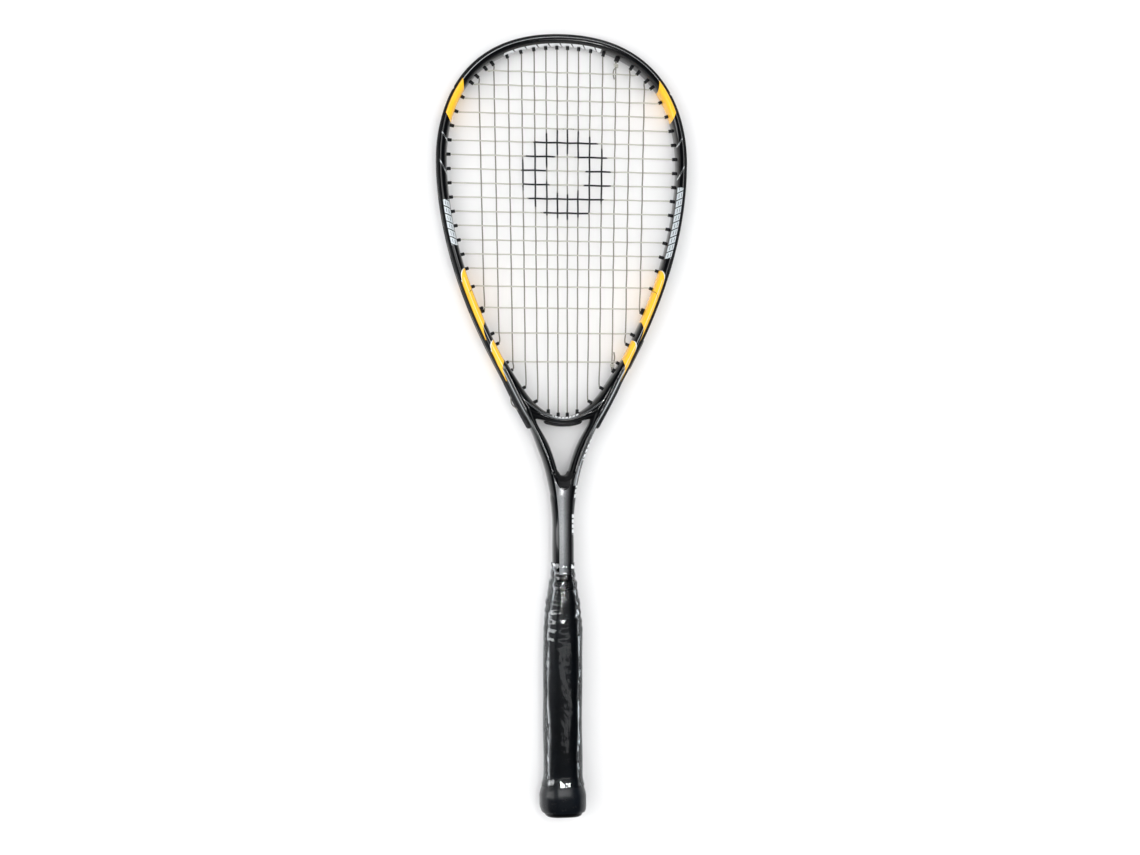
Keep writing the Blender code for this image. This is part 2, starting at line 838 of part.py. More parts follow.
def foam_size(y):
    """Half width and half depth of the foam handle at y."""
    if y < CAP_TOP_Y:
        return FOAM_CAP_SEAT
    if y < SHOULDER_Y:
        return FOAM_GRIP
    return mixed(FOAM_GRIP, FOAM_NECK, min((y - SHOULDER_Y) / (FOAM_TOP_Y - SHOULDER_Y), 1.0))


def cap_size(y):
    """Outside of the butt cap: a flare that runs out into the foam's own size."""
    if y < 16.0 * MM:
        return CAP_FLARE
    f = min((y - 16.0 * MM) / (CAP_TOP_Y - 16.0 * MM), 1.0)
    return mixed(CAP_FLARE, FOAM_GRIP, f * (2.0 - f))


def grip_bed(y):
    """What the grip lies on: cap, foam, then the bare shaft."""
    if y <= CAP_TOP_Y:
        return cap_size(y)
    if y <= FOAM_TOP_Y:
        return foam_size(y)
    return mixed(FOAM_NECK, SHAFT_WRAP_OUTER, min((y - FOAM_TOP_Y) / (8.0 * MM), 1.0))


GRIP_Y = [4, 7, 16, 21, 27, 36, 60, 110, 165, 176, 188, 196, 204]


def make_foam_half(name, side, cutters, parts, look):
    """Half of the handle, a trough moulded round the shaft; side is 1 above, -1 below."""
    ys = [FOAM_START_Y, CAP_TOP_Y - GAP, CAP_TOP_Y + GAP, 60 * MM, 110 * MM, SHOULDER_Y]
    ys += [176 * MM, FOAM_TOP_Y]
    half = HANDLE_SIDES // 2
    sections = []
    for y in ys:
        outer = soft_square(*foam_size(y), y, HANDLE_ROUND)[:half + 1]
        inner = soft_square(*grown(SHAFT_WRAP_OUTER, GAP), y, SHAFT_ROUND)[:half + 1]
        section = outer + list(reversed(inner))
        for point in section:
            point.z = side * max(point.z, GAP / 2)
        sections.append(section)
    bm = bmesh.new()
    loft(bm, sections)
    foam = add_mesh(name, bm, parts, look)
    boolean(foam, cutters["staple_slots"])
    return foam


def make_butt_cap(parts, cutters, look):
    """A cup over the end of the foam, with a rounded, flat-bottomed end."""
    rim = [(0.0, 0.80), (0.7 * MM, 0.90), (2.2 * MM, 0.97), (4.5 * MM, 1.0)]
    sections = []
    for y, scale in rim:
        a, b = CAP_FLARE
        sections.append(soft_square(a * scale, b * scale, y, HANDLE_ROUND))
    for y in (16 * MM, 21 * MM, 27 * MM, CAP_TOP_Y):
        sections.append(soft_square(*cap_size(y), y, HANDLE_ROUND))
    bm = bmesh.new()
    loft(bm, sections)
    cap = add_mesh("butt_cap", bm, parts, look)
    bm = bmesh.new()
    seat = grown(FOAM_CAP_SEAT, GAP)
    ends = (FOAM_START_Y - GAP, CAP_TOP_Y + 1 * MM)
    loft(bm, [soft_square(*seat, y, HANDLE_ROUND) for y in ends])
    boolean(cap, add_cutter("cap_socket", bm, cutters))
    return cap


def make_staple(name, side, parts, look):
    x_crown = side * (cap_size(STAPLE_Y)[0] - STAPLE_WIRE - 0.15 * MM)
    x_tip = x_crown - side * STAPLE_LEG
    route = [(x_tip, STAPLE_HALF), (x_crown, STAPLE_HALF), (x_crown, -STAPLE_HALF)]
    route.append((x_tip, -STAPLE_HALF))
    curve = bpy.data.curves.new(name, "CURVE")
    curve.dimensions = "3D"
    curve.bevel_depth = STAPLE_WIRE
    curve.bevel_resolution = 0
    curve.use_fill_caps = True
    spline = curve.splines.new("POLY")
    spline.points.add(len(route) - 1)
    for node, (x, z) in zip(spline.points, route):
        node.co = (x, STAPLE_Y, z, 1.0)
    curve.materials.append(look)
    thing = bpy.data.objects.new(name, curve)
    parts.objects.link(thing)
    return thing


def staple_slots(cutters):
    """Slots for both staples' crowns and legs, through the cap and into the foam."""
    bm = bmesh.new()
    r = STAPLE_WIRE + 0.25 * MM
    for side in (-1, 1):
        face = cap_size(STAPLE_Y)[0]
        crown = face - STAPLE_WIRE - 0.15 * MM
        tip = crown - STAPLE_LEG - 0.4 * MM
        for z in (-STAPLE_HALF, STAPLE_HALF):
            xs = sorted((side * tip, side * (crown + r)))
            box(bm, (xs[0], STAPLE_Y - r, z - r), (xs[1], STAPLE_Y + r, z + r))
    legs = add_cutter("staple_slots", bm, cutters)
    bm = bmesh.new()
    for side in (-1, 1):
        face = cap_size(STAPLE_Y)[0]
        xs = sorted((side * (face - 2 * r), side * (face + 2 * MM)))
        reach = STAPLE_HALF + r + 0.1 * MM
        box(bm, (xs[0], STAPLE_Y - r - 0.1 * MM, -reach), (xs[1], STAPLE_Y + r + 0.1 * MM, reach))
    crowns = add_cutter("staple_pockets", bm, cutters)
    return legs, crowns


def make_sleeve(name, ys, inner_size, outer_size, parts, look):
    outer = [soft_square(*outer_size(y), y, HANDLE_ROUND) for y in ys]
    inner = [soft_square(*inner_size(y), y, HANDLE_ROUND) for y in ys]
    bm = bmesh.new()
    pipe(bm, outer, inner)
    return add_mesh(name, bm, parts, look)


def grip_inner(y):
    return grown(grip_bed(y), GAP + 0.15 * MM)


def grip_outer(y):
    thick = GRIP_THICK
    if y > GRIP_TOP_Y - 1 * MM:
        thick = 1.2 * MM
    elif y < GRIP_START_Y + 1 * MM:
        thick = 1.3 * MM
    return grown(grip_inner(y), thick)


def tape_bed(y):
    if y < GRIP_TOP_Y:
        return grip_outer(y)
    if y < GRIP_TOP_Y + 1.5 * MM:
        return grip_outer(GRIP_TOP_Y)
    return grown(SHAFT_WRAP_OUTER, 0.3 * MM)


def tape_outer(y):
    return grown(tape_bed(y), GAP + TAPE_THICK)


def film_bed(y):
    if y < TAPE_START_Y - 2 * MM:
        return grip_outer(y)
    if y < TAPE_TOP_Y + 1 * MM:
        return tape_outer(y)
    return grown(SHAFT_WRAP_OUTER, 0.3 * MM)


def make_handle(parts, cutters, looks):
    legs, crowns = staple_slots(cutters)
    slots = {"staple_slots": legs}
    make_foam_half("handle_foam_upper", 1, slots, parts, looks["foam"])
    make_foam_half("handle_foam_lower", -1, slots, parts, looks["foam"])
    cap = make_butt_cap(parts, cutters, looks["cap"])
    boolean(cap, legs)
    boolean(cap, crowns)
    make_staple("cap_staple_left", -1, parts, looks["steel"])
    make_staple("cap_staple_right", 1, parts, looks["steel"])
    grip_ys = [y * MM for y in GRIP_Y]
    make_sleeve("grip_wrap", grip_ys, grip_inner, grip_outer, parts, looks["grip"])
    tape_ys = [TAPE_START_Y, 203 * MM, GRIP_TOP_Y + 1.4 * MM, 207.5 * MM, TAPE_TOP_Y]
    make_sleeve("finishing_tape", tape_ys, lambda y: grown(tape_bed(y), GAP), tape_outer,
                parts, looks["tape"])
    film_ys = [y * MM for y in (27, 36, 60, 110, 165, 176, 188, 195.9, 196.5)]
    film_ys += tape_ys + [211.9 * MM, 213.4 * MM, FILM_TOP_Y]
    make_sleeve("grip_film", film_ys, lambda y: grown(film_bed(y), GAP),
                lambda y: grown(film_bed(y), GAP + FILM_THICK), parts, looks["film"])


# --- the whole racket -------------------------------------------------------------------

def lay_down(collections):
    """Tilt the racket on one empty so that the butt's flare and the crown touch the ground."""
    butt_y = 10.0 * MM
    butt_drop = grip_outer(butt_y)[1]
    crown_drop = HEAD_HALF_DEPTH
    run = CROWN_Y - butt_y
    tilt = -math.atan2(butt_drop - crown_drop, run)
    length = CROWN_Y + STRIP_RIM
    stand = bpy.data.objects.new("racket_stand", None)
    things = [thing for collection in collections for thing in collection.objects]
    collections[0].objects.link(stand)
    lift = butt_drop * math.cos(tilt) - (butt_y - length / 2) * math.sin(tilt)
    stand.rotation_euler = (tilt, 0.0, 0.0)
    stand.location = (0.0, 0.0, lift)
    for thing in things:
        thing.parent = stand
        thing.location.y -= length / 2


def main():
    clear_scene()
    parts = new_collection("squash_racket")
    cutters = new_collection("cutters")
    looks = {
        "paint": material("black_gloss_paint", (0.012, 0.012, 0.014), 0.18),
        "silver": material("silver_paint", (0.35, 0.36, 0.38), 0.32, 0.7),
        "nylon": material("grommet_nylon", (0.03, 0.03, 0.032), 0.55),
        "string": material("string_nylon", (0.78, 0.77, 0.71), 0.35),
        "foam": material("handle_foam", (0.16, 0.15, 0.13), 0.85),
        "cap": material("cap_rubber", (0.02, 0.02, 0.02), 0.6),
        "steel": material("staple_steel", (0.6, 0.6, 0.6), 0.35, 1.0),
        "grip": material("grip_polyurethane", (0.018, 0.02, 0.024), 0.5),
        "tape": material("finishing_tape", (0.01, 0.01, 0.01), 0.4),
        "film": material("clear_film", (0.9, 0.9, 0.9), 0.08, 0.0, 0.25),
    }
    make_frame_tube(parts, cutters, looks["paint"])
    skin = frame_skin(cutters)
    make_bridge(parts, cutters, skin, looks["paint"])
    make_wedge(parts, skin, looks["paint"])
    make_shaft_wrap(parts, looks["silver"])

    joint = LINE.at_y(STRIP_JOINT_Y)
    end = LINE.at_y(STRIP_END_Y)
    space = LINE.step(joint, GAP) - joint
    nylon = looks["nylon"]
    make_frame_strip("bumper_guard", "bumper", joint + space, LINE.last - joint - space,
                     parts, cutters, nylon)
    make_frame_strip("side_grommet_strip_left", "left", end, joint, parts, cutters, nylon)
    make_frame_strip("side_grommet_strip_right", "right", LINE.last - joint, LINE.last - end,
                     parts, cutters, nylon)
    make_throat_strip(parts, cutters, nylon)
    make_string(parts, looks["string"])
    make_handle(parts, cutters, looks)
    lay_down([parts, cutters])


main()
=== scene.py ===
"""The looks of the squash racket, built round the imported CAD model.

Every fine piece is worked out in the racket's own frame, in millimetres: Y runs from the butt
end to the head, X across the head, and Z is square to the string bed, which lies at Z = 0.
PLACE lays that frame on the butt-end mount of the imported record.
"""

import json
import math

import bmesh
import bpy
import numpy as np
from mathutils import Matrix, Vector
from mathutils.bvhtree import BVHTree


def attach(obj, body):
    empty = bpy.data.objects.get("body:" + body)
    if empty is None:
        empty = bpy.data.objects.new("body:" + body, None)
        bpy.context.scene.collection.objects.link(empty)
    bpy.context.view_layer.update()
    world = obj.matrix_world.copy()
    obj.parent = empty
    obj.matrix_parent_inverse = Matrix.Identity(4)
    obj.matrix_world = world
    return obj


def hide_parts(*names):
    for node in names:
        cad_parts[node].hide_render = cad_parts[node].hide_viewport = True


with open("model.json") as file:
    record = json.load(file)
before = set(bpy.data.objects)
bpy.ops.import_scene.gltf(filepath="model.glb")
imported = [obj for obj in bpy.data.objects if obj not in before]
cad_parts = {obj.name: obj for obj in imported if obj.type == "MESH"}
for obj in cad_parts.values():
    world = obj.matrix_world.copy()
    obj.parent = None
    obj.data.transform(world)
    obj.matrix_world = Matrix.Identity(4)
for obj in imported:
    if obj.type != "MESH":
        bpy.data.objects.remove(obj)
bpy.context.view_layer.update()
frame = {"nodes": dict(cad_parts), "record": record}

MM = 0.001
UP = np.array([0.0, 0.0, 1.0])

# Centre line of the frame tube, left half.
CROWN_Y = 680.4
SIDE = (105.8, 575.0)
FLANK = (47.1, 380.7)
FLANK_ANGLE = math.radians(24.7)
LEG_X = 4.02
LEG_TOP_Y = 240.0
LEG_END_Y = 18.0
CROWN_PULL = 90.0
SIDE_PULL_UP = 37.0
SIDE_PULL_DOWN = 97.0
FLANK_PULL_UP = 16.4
FLANK_PULL_DOWN = 55.0
LEG_PULL = 80.0

# Frame tube section.
HEAD_HALF_WIDTH = 3.4
ARM_HALF_WIDTH = 5.2
LEG_HALF_WIDTH = 3.87
HEAD_HALF_DEPTH = 10.0
LEG_HALF_DEPTH = 8.3
INNER_FULLNESS = 0.7
SECTION_ROUND = 0.86

# Grommet strips: heights are measured outwards from the tube's centre line.
STRIP_SEAT = 2.8
STRIP_FLOOR = 3.75
STRIP_RIM = 5.3
STRIP_JOINT_Y = 633.0
STRIP_JOINT_GAP = 0.15
STRIP_END_Y = 341.0
BARREL_RADIUS = 1.5
BORE_RADIUS = 0.95
BARREL_PROUD = 3.2
TIE_OFF_EXTRA = 0.7
REACH = HEAD_HALF_WIDTH + INNER_FULLNESS + BARREL_PROUD

# Throat.
ARCH_Y = 349.5
ARCH_CURVE = 0.0193
ARCH_END_X = 41.0
BRIDGE_END_X = 54.0
BRIDGE_THICK = 7.0
BRIDGE_THICK_CURVE = 0.0075
BRIDGE_HALF_DEPTH = 9.0
THROAT_STRIP_HALF_X = 12.3
CROTCH_Y = 302.4
CROTCH_RADIUS = 4.7

# Stringing pattern.
MAINS_PER_SIDE = 7
TIE_OFF_MAIN = 12
CROSSES = 19
EVEN_CROSSES = 15
FIRST_CROSS_Y = 652.8
CROSS_PITCH = 12.4
CROSS_PITCH_GROWTH = 3.2
MAIN_PITCH_TOP = (9.2, 0.33)
MAIN_PITCH_BOTTOM = (7.9, 0.42)
STRING_RADIUS = 0.62
WEAVE = 0.72
LANE = 1.55
KNOT_RADIUS = 1.5
KNOT_PITCH = 1.5

# Shaft and handle: half width and half depth of each layer.
SHAFT_WRAP = (9.4, 9.7)
FOAM_GRIP = (13.0, 11.1)
FOAM_NECK = (11.0, 10.9)
CAP_FLARE_Y = 16.0
CAP_TOP_Y = 36.0
SHOULDER_Y = 165.0
FOAM_TOP_Y = 188.0
CAP_FLARE = (17.2, 14.9)
GRIP_THICK = 1.8
GRIP_GAP = 0.45
GRIP_START_Y = 4.0
GRIP_TOP_Y = 204.0
GRIP_PITCH = 33.0
LEFT_FULL = 1.25
RIGHT_FULL = 0.45
TAPE_START_Y = 198.0
TAPE_TOP_Y = 211.0
FILM_START_Y = 27.0
FILM_TOP_Y = 221.0
HANDLE_ROUND = 0.62
HANDLE_CROWN = 0.80
SHAFT_ROUND = 0.55
SHAFT_CROWN = 0.72
WEB_ROUND = 0.4

# Top of the shaft's wrap: the heights between which it thins on to the arms and the thickness
# that is left, then how far its sides and faces sink in between the arms, from which height.
WRAP_TOP_Y = 296.0
WRAP_THINS = (230.0, 284.0)
WRAP_LEFT = (0.6, 0.35)
SIDES_SINK = (276.0, 3.6)
FACES_SINK = (280.0, 2.4)

# Web under the crotch, and the joints at the throat that are filleted: the fillet's radius, and
# the heights of the zone.
WEB_Y = (266.0, 294.0)
BRIDGE_JOINT = (7.0, 335.0, 402.0)
CROTCH_JOINT = (3.0, 283.0, 314.0)


def racket_place():
    """Where the racket's own frame lies: its origin and Y axis are the butt-end mount's."""
    mount = next(m for m in frame["record"]["mounts"] if m["name"] == "butt_end")
    along = -Vector(mount["axis"]).normalized()
    across = Vector((1.0, 0.0, 0.0))
    square = across.cross(along)
    turn = Matrix((across, along, square)).transposed().to_4x4()
    return Matrix.Translation(Vector(mount["pos_m"])) @ turn


PLACE = racket_place()


# --- node materials -----------------------------------------------------------------------

def worked_out(operation):
    """A method of Field that works out one of Blender's operations."""
    return lambda field, *others: field.math(operation, *others)


RANGE_SOCKETS = ("From Min", "From Max", "To Min", "To Max")


class Field:
    """A number worked out at each point of a surface, written as ordinary arithmetic."""

    def __init__(self, tree, socket):
        self.tree = tree
        self.socket = socket

    def math(self, operation, *others):
        node = self.tree.nodes.new("ShaderNodeMath")
        node.operation = operation
        self.tree.links.new(self.socket, node.inputs[0])
        for slot, other in enumerate(others, start=1):
            if isinstance(other, Field):
                self.tree.links.new(other.socket, node.inputs[slot])
            else:
                node.inputs[slot].default_value = other
        return Field(self.tree, node.outputs[0])

    __add__ = worked_out("ADD")
    __sub__ = worked_out("SUBTRACT")
    __mul__ = worked_out("MULTIPLY")
    __truediv__ = worked_out("DIVIDE")
    __pow__ = worked_out("POWER")
    __abs__ = worked_out("ABSOLUTE")
    least = worked_out("MINIMUM")
    most = worked_out("MAXIMUM")
    wave = worked_out("SINE")

    def __neg__(self):
        return self * -1.0

    def part_of(self, pitch):
        """How far along its own stretch of one pitch, from 0 to 1."""
        return (self / pitch).math("FRACT")

    def from_middle(self, pitch):
        """How far it lies from the middle of its own stretch of one pitch."""
        return abs(self.part_of(pitch) - 0.5) * pitch

    def ranged(self, low, high, low_value, high_value, ease="LINEAR"):
        """From one value to the other between two numbers, and steady outside them."""
        node = self.tree.nodes.new("ShaderNodeMapRange")
        node.interpolation_type = ease
        self.tree.links.new(self.socket, node.inputs["Value"])
        for socket, value in zip(RANGE_SOCKETS, (low, high, low_value, high_value)):
            node.inputs[socket].default_value = value
        return Field(self.tree, node.outputs["Result"])

    def mask(self, soft):
        """1 where the number is positive and 0 where it is negative, with a narrow edge."""
        return self.ranged(-soft, soft, 0.0, 1.0, "SMOOTHSTEP")


def either(fields):
    """Positive wherever any one of the fields is."""
    joined = fields[0]
    for field in fields[1:]:
        joined = joined.most(field)
    return joined


class Look:
    """One procedural material round a Principled BSDF."""

    def __init__(self, name, colour, roughness, **sockets):
        self.material = bpy.data.materials.new(name)
        self.material.use_nodes = True
        self.tree = self.material.node_tree
        self.shader = self.tree.nodes["Principled BSDF"]
        self.output = self.tree.nodes["Material Output"]
        self.set("Base Color", (*colour, 1.0))
        self.set("Roughness", roughness)
        for socket, value in sockets.items():
            self.set(socket.replace("_", " ").title().replace("Ior", "IOR"), value)
        self.colour = None
        self.start_colour = colour

    def set(self, socket, value):
        self.shader.inputs[socket].default_value = value

    def new(self, kind):
        return self.tree.nodes.new("ShaderNode" + kind)

    def link(self, source, target):
        self.tree.links.new(source, target)

    def feed(self, socket, field):
        self.link(field.socket, self.shader.inputs[socket])

    def attribute(self, name):
        node = self.new("Attribute")
        node.attribute_name = name
        return Field(self.tree, node.outputs["Fac"])

    def place(self):
        """X, Y and Z in the racket's own frame, in millimetres."""
        where = self.new("TexCoord")
        split = self.new("SeparateXYZ")
        self.link(where.outputs["Object"], split.inputs[0])
        return [Field(self.tree, split.outputs[k]) * 1000.0 for k in range(3)]

    def around_and_along(self):
        """The surface's own coordinates in millimetres: round it, and along it."""
        where = self.new("UVMap")
        where.uv_map = "UVMap"
        split = self.new("SeparateXYZ")
        self.link(where.outputs["UV"], split.inputs[0])
        return [Field(self.tree, split.outputs[k]) * 1000.0 for k in range(2)]

    def noise(self, scale, detail=2.0, stretch=(1.0, 1.0, 1.0), roughness=0.5):
        where = self.new("TexCoord")
        mapping = self.new("Mapping")
        mapping.inputs["Scale"].default_value = stretch
        self.link(where.outputs["Object"], mapping.inputs["Vector"])
        node = self.new("TexNoise")
        node.inputs["Scale"].default_value = scale
        node.inputs["Detail"].default_value = detail
        node.inputs["Roughness"].default_value = roughness
        self.link(mapping.outputs["Vector"], node.inputs["Vector"])
        return Field(self.tree, node.outputs[0])

    def paint(self, colour, mask):
        """Lay a colour over what is there, where the mask is 1."""
        node = self.new("Mix")
        node.data_type = "RGBA"
        self.link(mask.socket, node.inputs[0])
        if self.colour is None:
            node.inputs[6].default_value = (*self.start_colour, 1.0)
        else:
            self.link(self.colour, node.inputs[6])
        node.inputs[7].default_value = (*colour, 1.0)
        self.colour = node.outputs[2]
        self.link(self.colour, self.shader.inputs["Base Color"])

    def bump(self, height, distance, strength=1.0):
        node = self.new("Bump")
        node.inputs["Distance"].default_value = distance * MM
        node.inputs["Strength"].default_value = strength
        self.link(height.socket, node.inputs["Height"])
        previous = self.shader.inputs["Normal"].links
        if previous:
            self.link(previous[0].from_socket, node.inputs["Normal"])
        self.link(node.outputs[0], self.shader.inputs["Normal"])
        return node


# --- meshes -------------------------------------------------------------------------------

def add_piece(name, points, faces, look, uv, fields, sharp):
    """A mesh object from points in millimetres, with its surface coordinates and fields."""
    mesh = bpy.data.meshes.new(name)
    mesh.from_pydata((np.asarray(points) * MM).tolist(), [], faces)
    layer = mesh.uv_layers.new(name="UVMap")
    layer.data.foreach_set("uv", (np.asarray(uv, np.float32) * MM).ravel())
    for field, values in fields.items():
        attribute = mesh.attributes.new(field, "FLOAT", "POINT")
        attribute.data.foreach_set("value", np.asarray(values, np.float32))
    bm = bmesh.new()
    bm.from_mesh(mesh)
    bmesh.ops.recalc_face_normals(bm, faces=bm.faces)
    bm.to_mesh(mesh)
    bm.free()
    mesh.materials.append(look.material)
    mesh.shade_smooth()
    mesh.set_sharp_from_angle(angle=math.radians(sharp))
    piece = bpy.data.objects.new(name, mesh)
    bpy.context.scene.collection.objects.link(piece)
    piece.matrix_world = PLACE
    return piece


def stands_for(piece, slot, *nodes):
    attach(piece, "root")
    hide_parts(*nodes)


class Skin:
    """Closed sections skinned into a body; several bodies can share one mesh."""

    def __init__(self):
        self.points = []
        self.faces = []
        self.uv = []
        self.count = 0

    def add_points(self, points):
        start = self.count
        self.points.append(np.asarray(points, float).reshape(-1, 3))
        self.count += len(self.points[-1])
        return start

    def add_face(self, corners, uv):
        self.faces.append(tuple(int(c) for c in corners))
        self.uv.extend(uv)

    def loft(self, rings, around, along, caps=True, flip=False):
        """rings is (n, k, 3); around gives k + 1 lengths round a ring, along one for each ring."""
        rings = np.asarray(rings, float)
        n, k, _ = rings.shape
        start = self.add_points(rings)
        for i in range(n - 1):
            low = start + i * k
            high = low + k
            for j in range(k):
                after = (j + 1) % k
                corners = (low + j, low + after, high + after, high + j)
                uv = [(around[j], along[i]), (around[j + 1], along[i]),
                      (around[j + 1], along[i + 1]), (around[j], along[i + 1])]
                if flip:
                    corners = corners[::-1]
                    uv = uv[::-1]
                self.add_face(corners, uv)
        if caps:
            for i in (0, n - 1):
                centre = self.add_points(rings[i].mean(axis=0))
                low = start + i * k
                for j in range(k):
                    after = (j + 1) % k
                    self.add_face((low + j, low + after, centre), [(around[j], along[i])] * 3)
        return start

    def sleeve(self, outer, inner, around, along):
        """A tube with a wall: two skins joined by a ring of faces at each end."""
        first = self.loft(outer, around, along, caps=False)
        second = self.loft(inner, around, along, caps=False, flip=True)
        k = len(outer[0])
        for i in (0, len(outer) - 1):
            low = first + i * k
            deep = second + i * k
            for j in range(k):
                after = (j + 1) % k
                corners = (low + j, low + after, deep + after, deep + j)
                self.add_face(corners, [(around[j], along[i])] * 4)

    def piece(self, name, look, rules=None, values=None, sharp=45.0):
        """A mesh object of all the bodies. A field is worked out by a rule from the points, or
        its values are given for one body's sections, and it is 0 at the centres of both ends."""
        points = np.vstack(self.points)
        fields = {}
        for field, given in (values or {}).items():
            fields[field] = np.concatenate([np.ravel(given), [0.0, 0.0]])
        for field, rule in (rules or {}).items():
            fields[field] = rule(points)
        return add_piece(name, points, self.faces, look, self.uv, fields, sharp)


def unit(vectors):
    """The same directions at length 1."""
    lengths = np.linalg.norm(vectors, axis=-1, keepdims=True)
    return vectors / np.maximum(lengths, 1e-9)


def lengths_along(points):
    """The length from the first point of a path to each of its points."""
    steps = np.linalg.norm(np.diff(points, axis=0), axis=1)
    return np.concatenate([[0.0], np.cumsum(steps)])


def girth(ring):
    """Lengths round one closed section, starting at 0 and closing at its full girth."""
    return lengths_along(np.vstack([ring, ring[:1]]))


def turning_point(test, low, high):
    """Where between low and high a test turns from true to false."""
    for _ in range(40):
        middle = (low + high) / 2
        if test(middle):
            low = middle
        else:
            high = middle
    return (low + high) / 2


def circle(side, other, sides):
    """Offsets round a circle of radius 1 in the plane of two unit vectors."""
    angle = np.arange(sides) * math.tau / sides
    return side * np.cos(angle)[:, None] + other * np.sin(angle)[:, None]


def standing_ring(centre, direction, u, z):
    """A section square to the string bed: u along the direction, and z above the bed."""
    return centre + direction * np.asarray(u)[:, None] + UP * np.asarray(z)[:, None]


def drawn_out(wave, power):
    """A cosine or sine drawn out towards a square wave by a power below 1."""
    return np.sign(wave) * np.abs(wave) ** power


def soft_square(half_width, half_depth, roundness, sides, crown):
    """Offsets (x, z) of a square with well rounded corners; crown rounds its wide faces."""
    angle = np.arange(sides) * math.tau / sides
    x = drawn_out(np.cos(angle), roundness) * half_width
    z = drawn_out(np.sin(angle), crown) * half_depth
    return np.stack([x, z], axis=1)


def level_ring(offsets, y):
    """A section square to the handle, from its (x, z) offsets."""
    return np.stack([offsets[:, 0], np.full(len(offsets), y), offsets[:, 1]], axis=1)


def blend(low, high, low_value, high_value, y):
    """From one value to the other between two heights, easing in and out."""
    f = np.clip((np.asarray(y, float) - low) / (high - low), 0.0, 1.0)
    f = f * f * (3.0 - 2.0 * f)
    return low_value + (high_value - low_value) * f


# --- centre line of the frame -------------------------------------------------------------

def bezier(p0, p1, p2, p3, count):
    t = np.arange(count)[:, None] / count
    s = 1.0 - t
    p0, p1, p2, p3 = (np.array(p, float) for p in (p0, p1, p2, p3))
    return p0 * s ** 3 + p1 * 3 * s * s * t + p2 * 3 * s * t * t + p3 * t ** 3


def left_half():
    down = np.array([math.sin(FLANK_ANGLE), -math.cos(FLANK_ANGLE)])
    leg = np.array([-LEG_X, LEG_TOP_Y])
    flank = np.array([-FLANK[0], FLANK[1]])
    side = np.array([-SIDE[0], SIDE[1]])
    crown = np.array([0.0, CROWN_Y])
    north = np.array([0.0, 1.0])
    east = np.array([1.0, 0.0])
    return np.vstack([
        bezier((-LEG_X, LEG_END_Y), (-LEG_X, 95.0), (-LEG_X, 170.0), leg, 60),
        bezier(leg, leg + north * LEG_PULL, flank + down * FLANK_PULL_DOWN, flank, 100),
        bezier(flank, flank - down * FLANK_PULL_UP, side - north * SIDE_PULL_DOWN, side, 130),
        bezier(side, side + north * SIDE_PULL_UP, crown - east * CROWN_PULL, crown, 120),
    ])


class CentreLine:
    """The frame's centre line by its length s, from the left leg's end over the crown."""

    def __init__(self):
        left = left_half()
        right = left[::-1] * np.array([-1.0, 1.0])
        points = np.vstack([left, [[0.0, CROWN_Y]], right])
        along = unit(np.gradient(points, axis=0))
        self.points = points
        self.inward = np.stack([along[:, 1], -along[:, 0]], axis=1)
        self.s = lengths_along(points)
        self.length = self.s[-1]
        self.crown = self.length / 2

    def place(self, s, u, z=0.0):
        """The point at length s, u inwards of the centre line and z above the strings."""
        x, y = (np.interp(s, self.s, self.points[:, k]) for k in range(2))
        nx, ny = (np.interp(s, self.s, self.inward[:, k]) for k in range(2))
        return np.array([x + nx * u, y + ny * u, z])

    def find(self, test, low, high):
        """The length between low and high where test changes sign."""
        sign = test(low) > 0
        return turning_point(lambda s: (test(s) > 0) == sign, low, high)

    def at_y(self, y, u=0.0, side=-1):
        s = self.find(lambda t: self.place(t, u)[1] - y, 0.0, self.crown)
        return s if side < 0 else self.length - s

    def x_at(self, y):
        """How far out the centre line lies at the heights y, below the head's widest place."""
        half = len(self.points) // 2
        top = int(np.argmin(np.abs(self.points[:half, 1] - SIDE[1])))
        return np.interp(y, self.points[:top, 1], -self.points[:top, 0])


LINE = CentreLine()


def from_crown(y):
    """Length along the centre line from the crown down to a height."""
    return LINE.crown - LINE.at_y(y)


def half_width(y):
    arm = blend(250.0, 300.0, LEG_HALF_WIDTH, ARM_HALF_WIDTH, y)
    return arm + blend(320.0, 345.0, 0.0, HEAD_HALF_WIDTH - ARM_HALF_WIDTH, y)


def half_depth(y):
    return blend(250.0, 300.0, LEG_HALF_DEPTH, HEAD_HALF_DEPTH, y)


def oval(a, b, sides):
    """The tube's section as (u, z), starting at the outermost point."""
    angle = np.arange(sides) * math.tau / sides
    u = drawn_out(-np.cos(angle), SECTION_ROUND) * a
    z = drawn_out(np.sin(angle), SECTION_ROUND) * b
    return u, z


# --- the paint scheme ---------------------------------------------------------------------

BLACK = (0.0020, 0.0022, 0.0028)
AMBER = (0.985, 0.545, 0.028)
AMBER_PAINTED_SHADE = (0.80, 0.36, 0.015)
SILVER = (0.66, 0.69, 0.71)
FACE_GREY = (0.50, 0.51, 0.53)
FACE_SHADE = (0.25, 0.255, 0.265)
FACE_PAINTED_SHADE = (0.010, 0.010, 0.012)
WHITE = (0.82, 0.84, 0.86)
BLOCK_GREY = (0.55, 0.60, 0.63)
ARC_BROWN = (0.05, 0.03, 0.01)
GLOSS = 0.12
FACE_ROUGHNESS = 0.40
CROTCH_ROUGHNESS = 0.42
COAT = 0.35
METAL = 0.92
EDGE = 0.12
SOFT_EDGE = 0.15

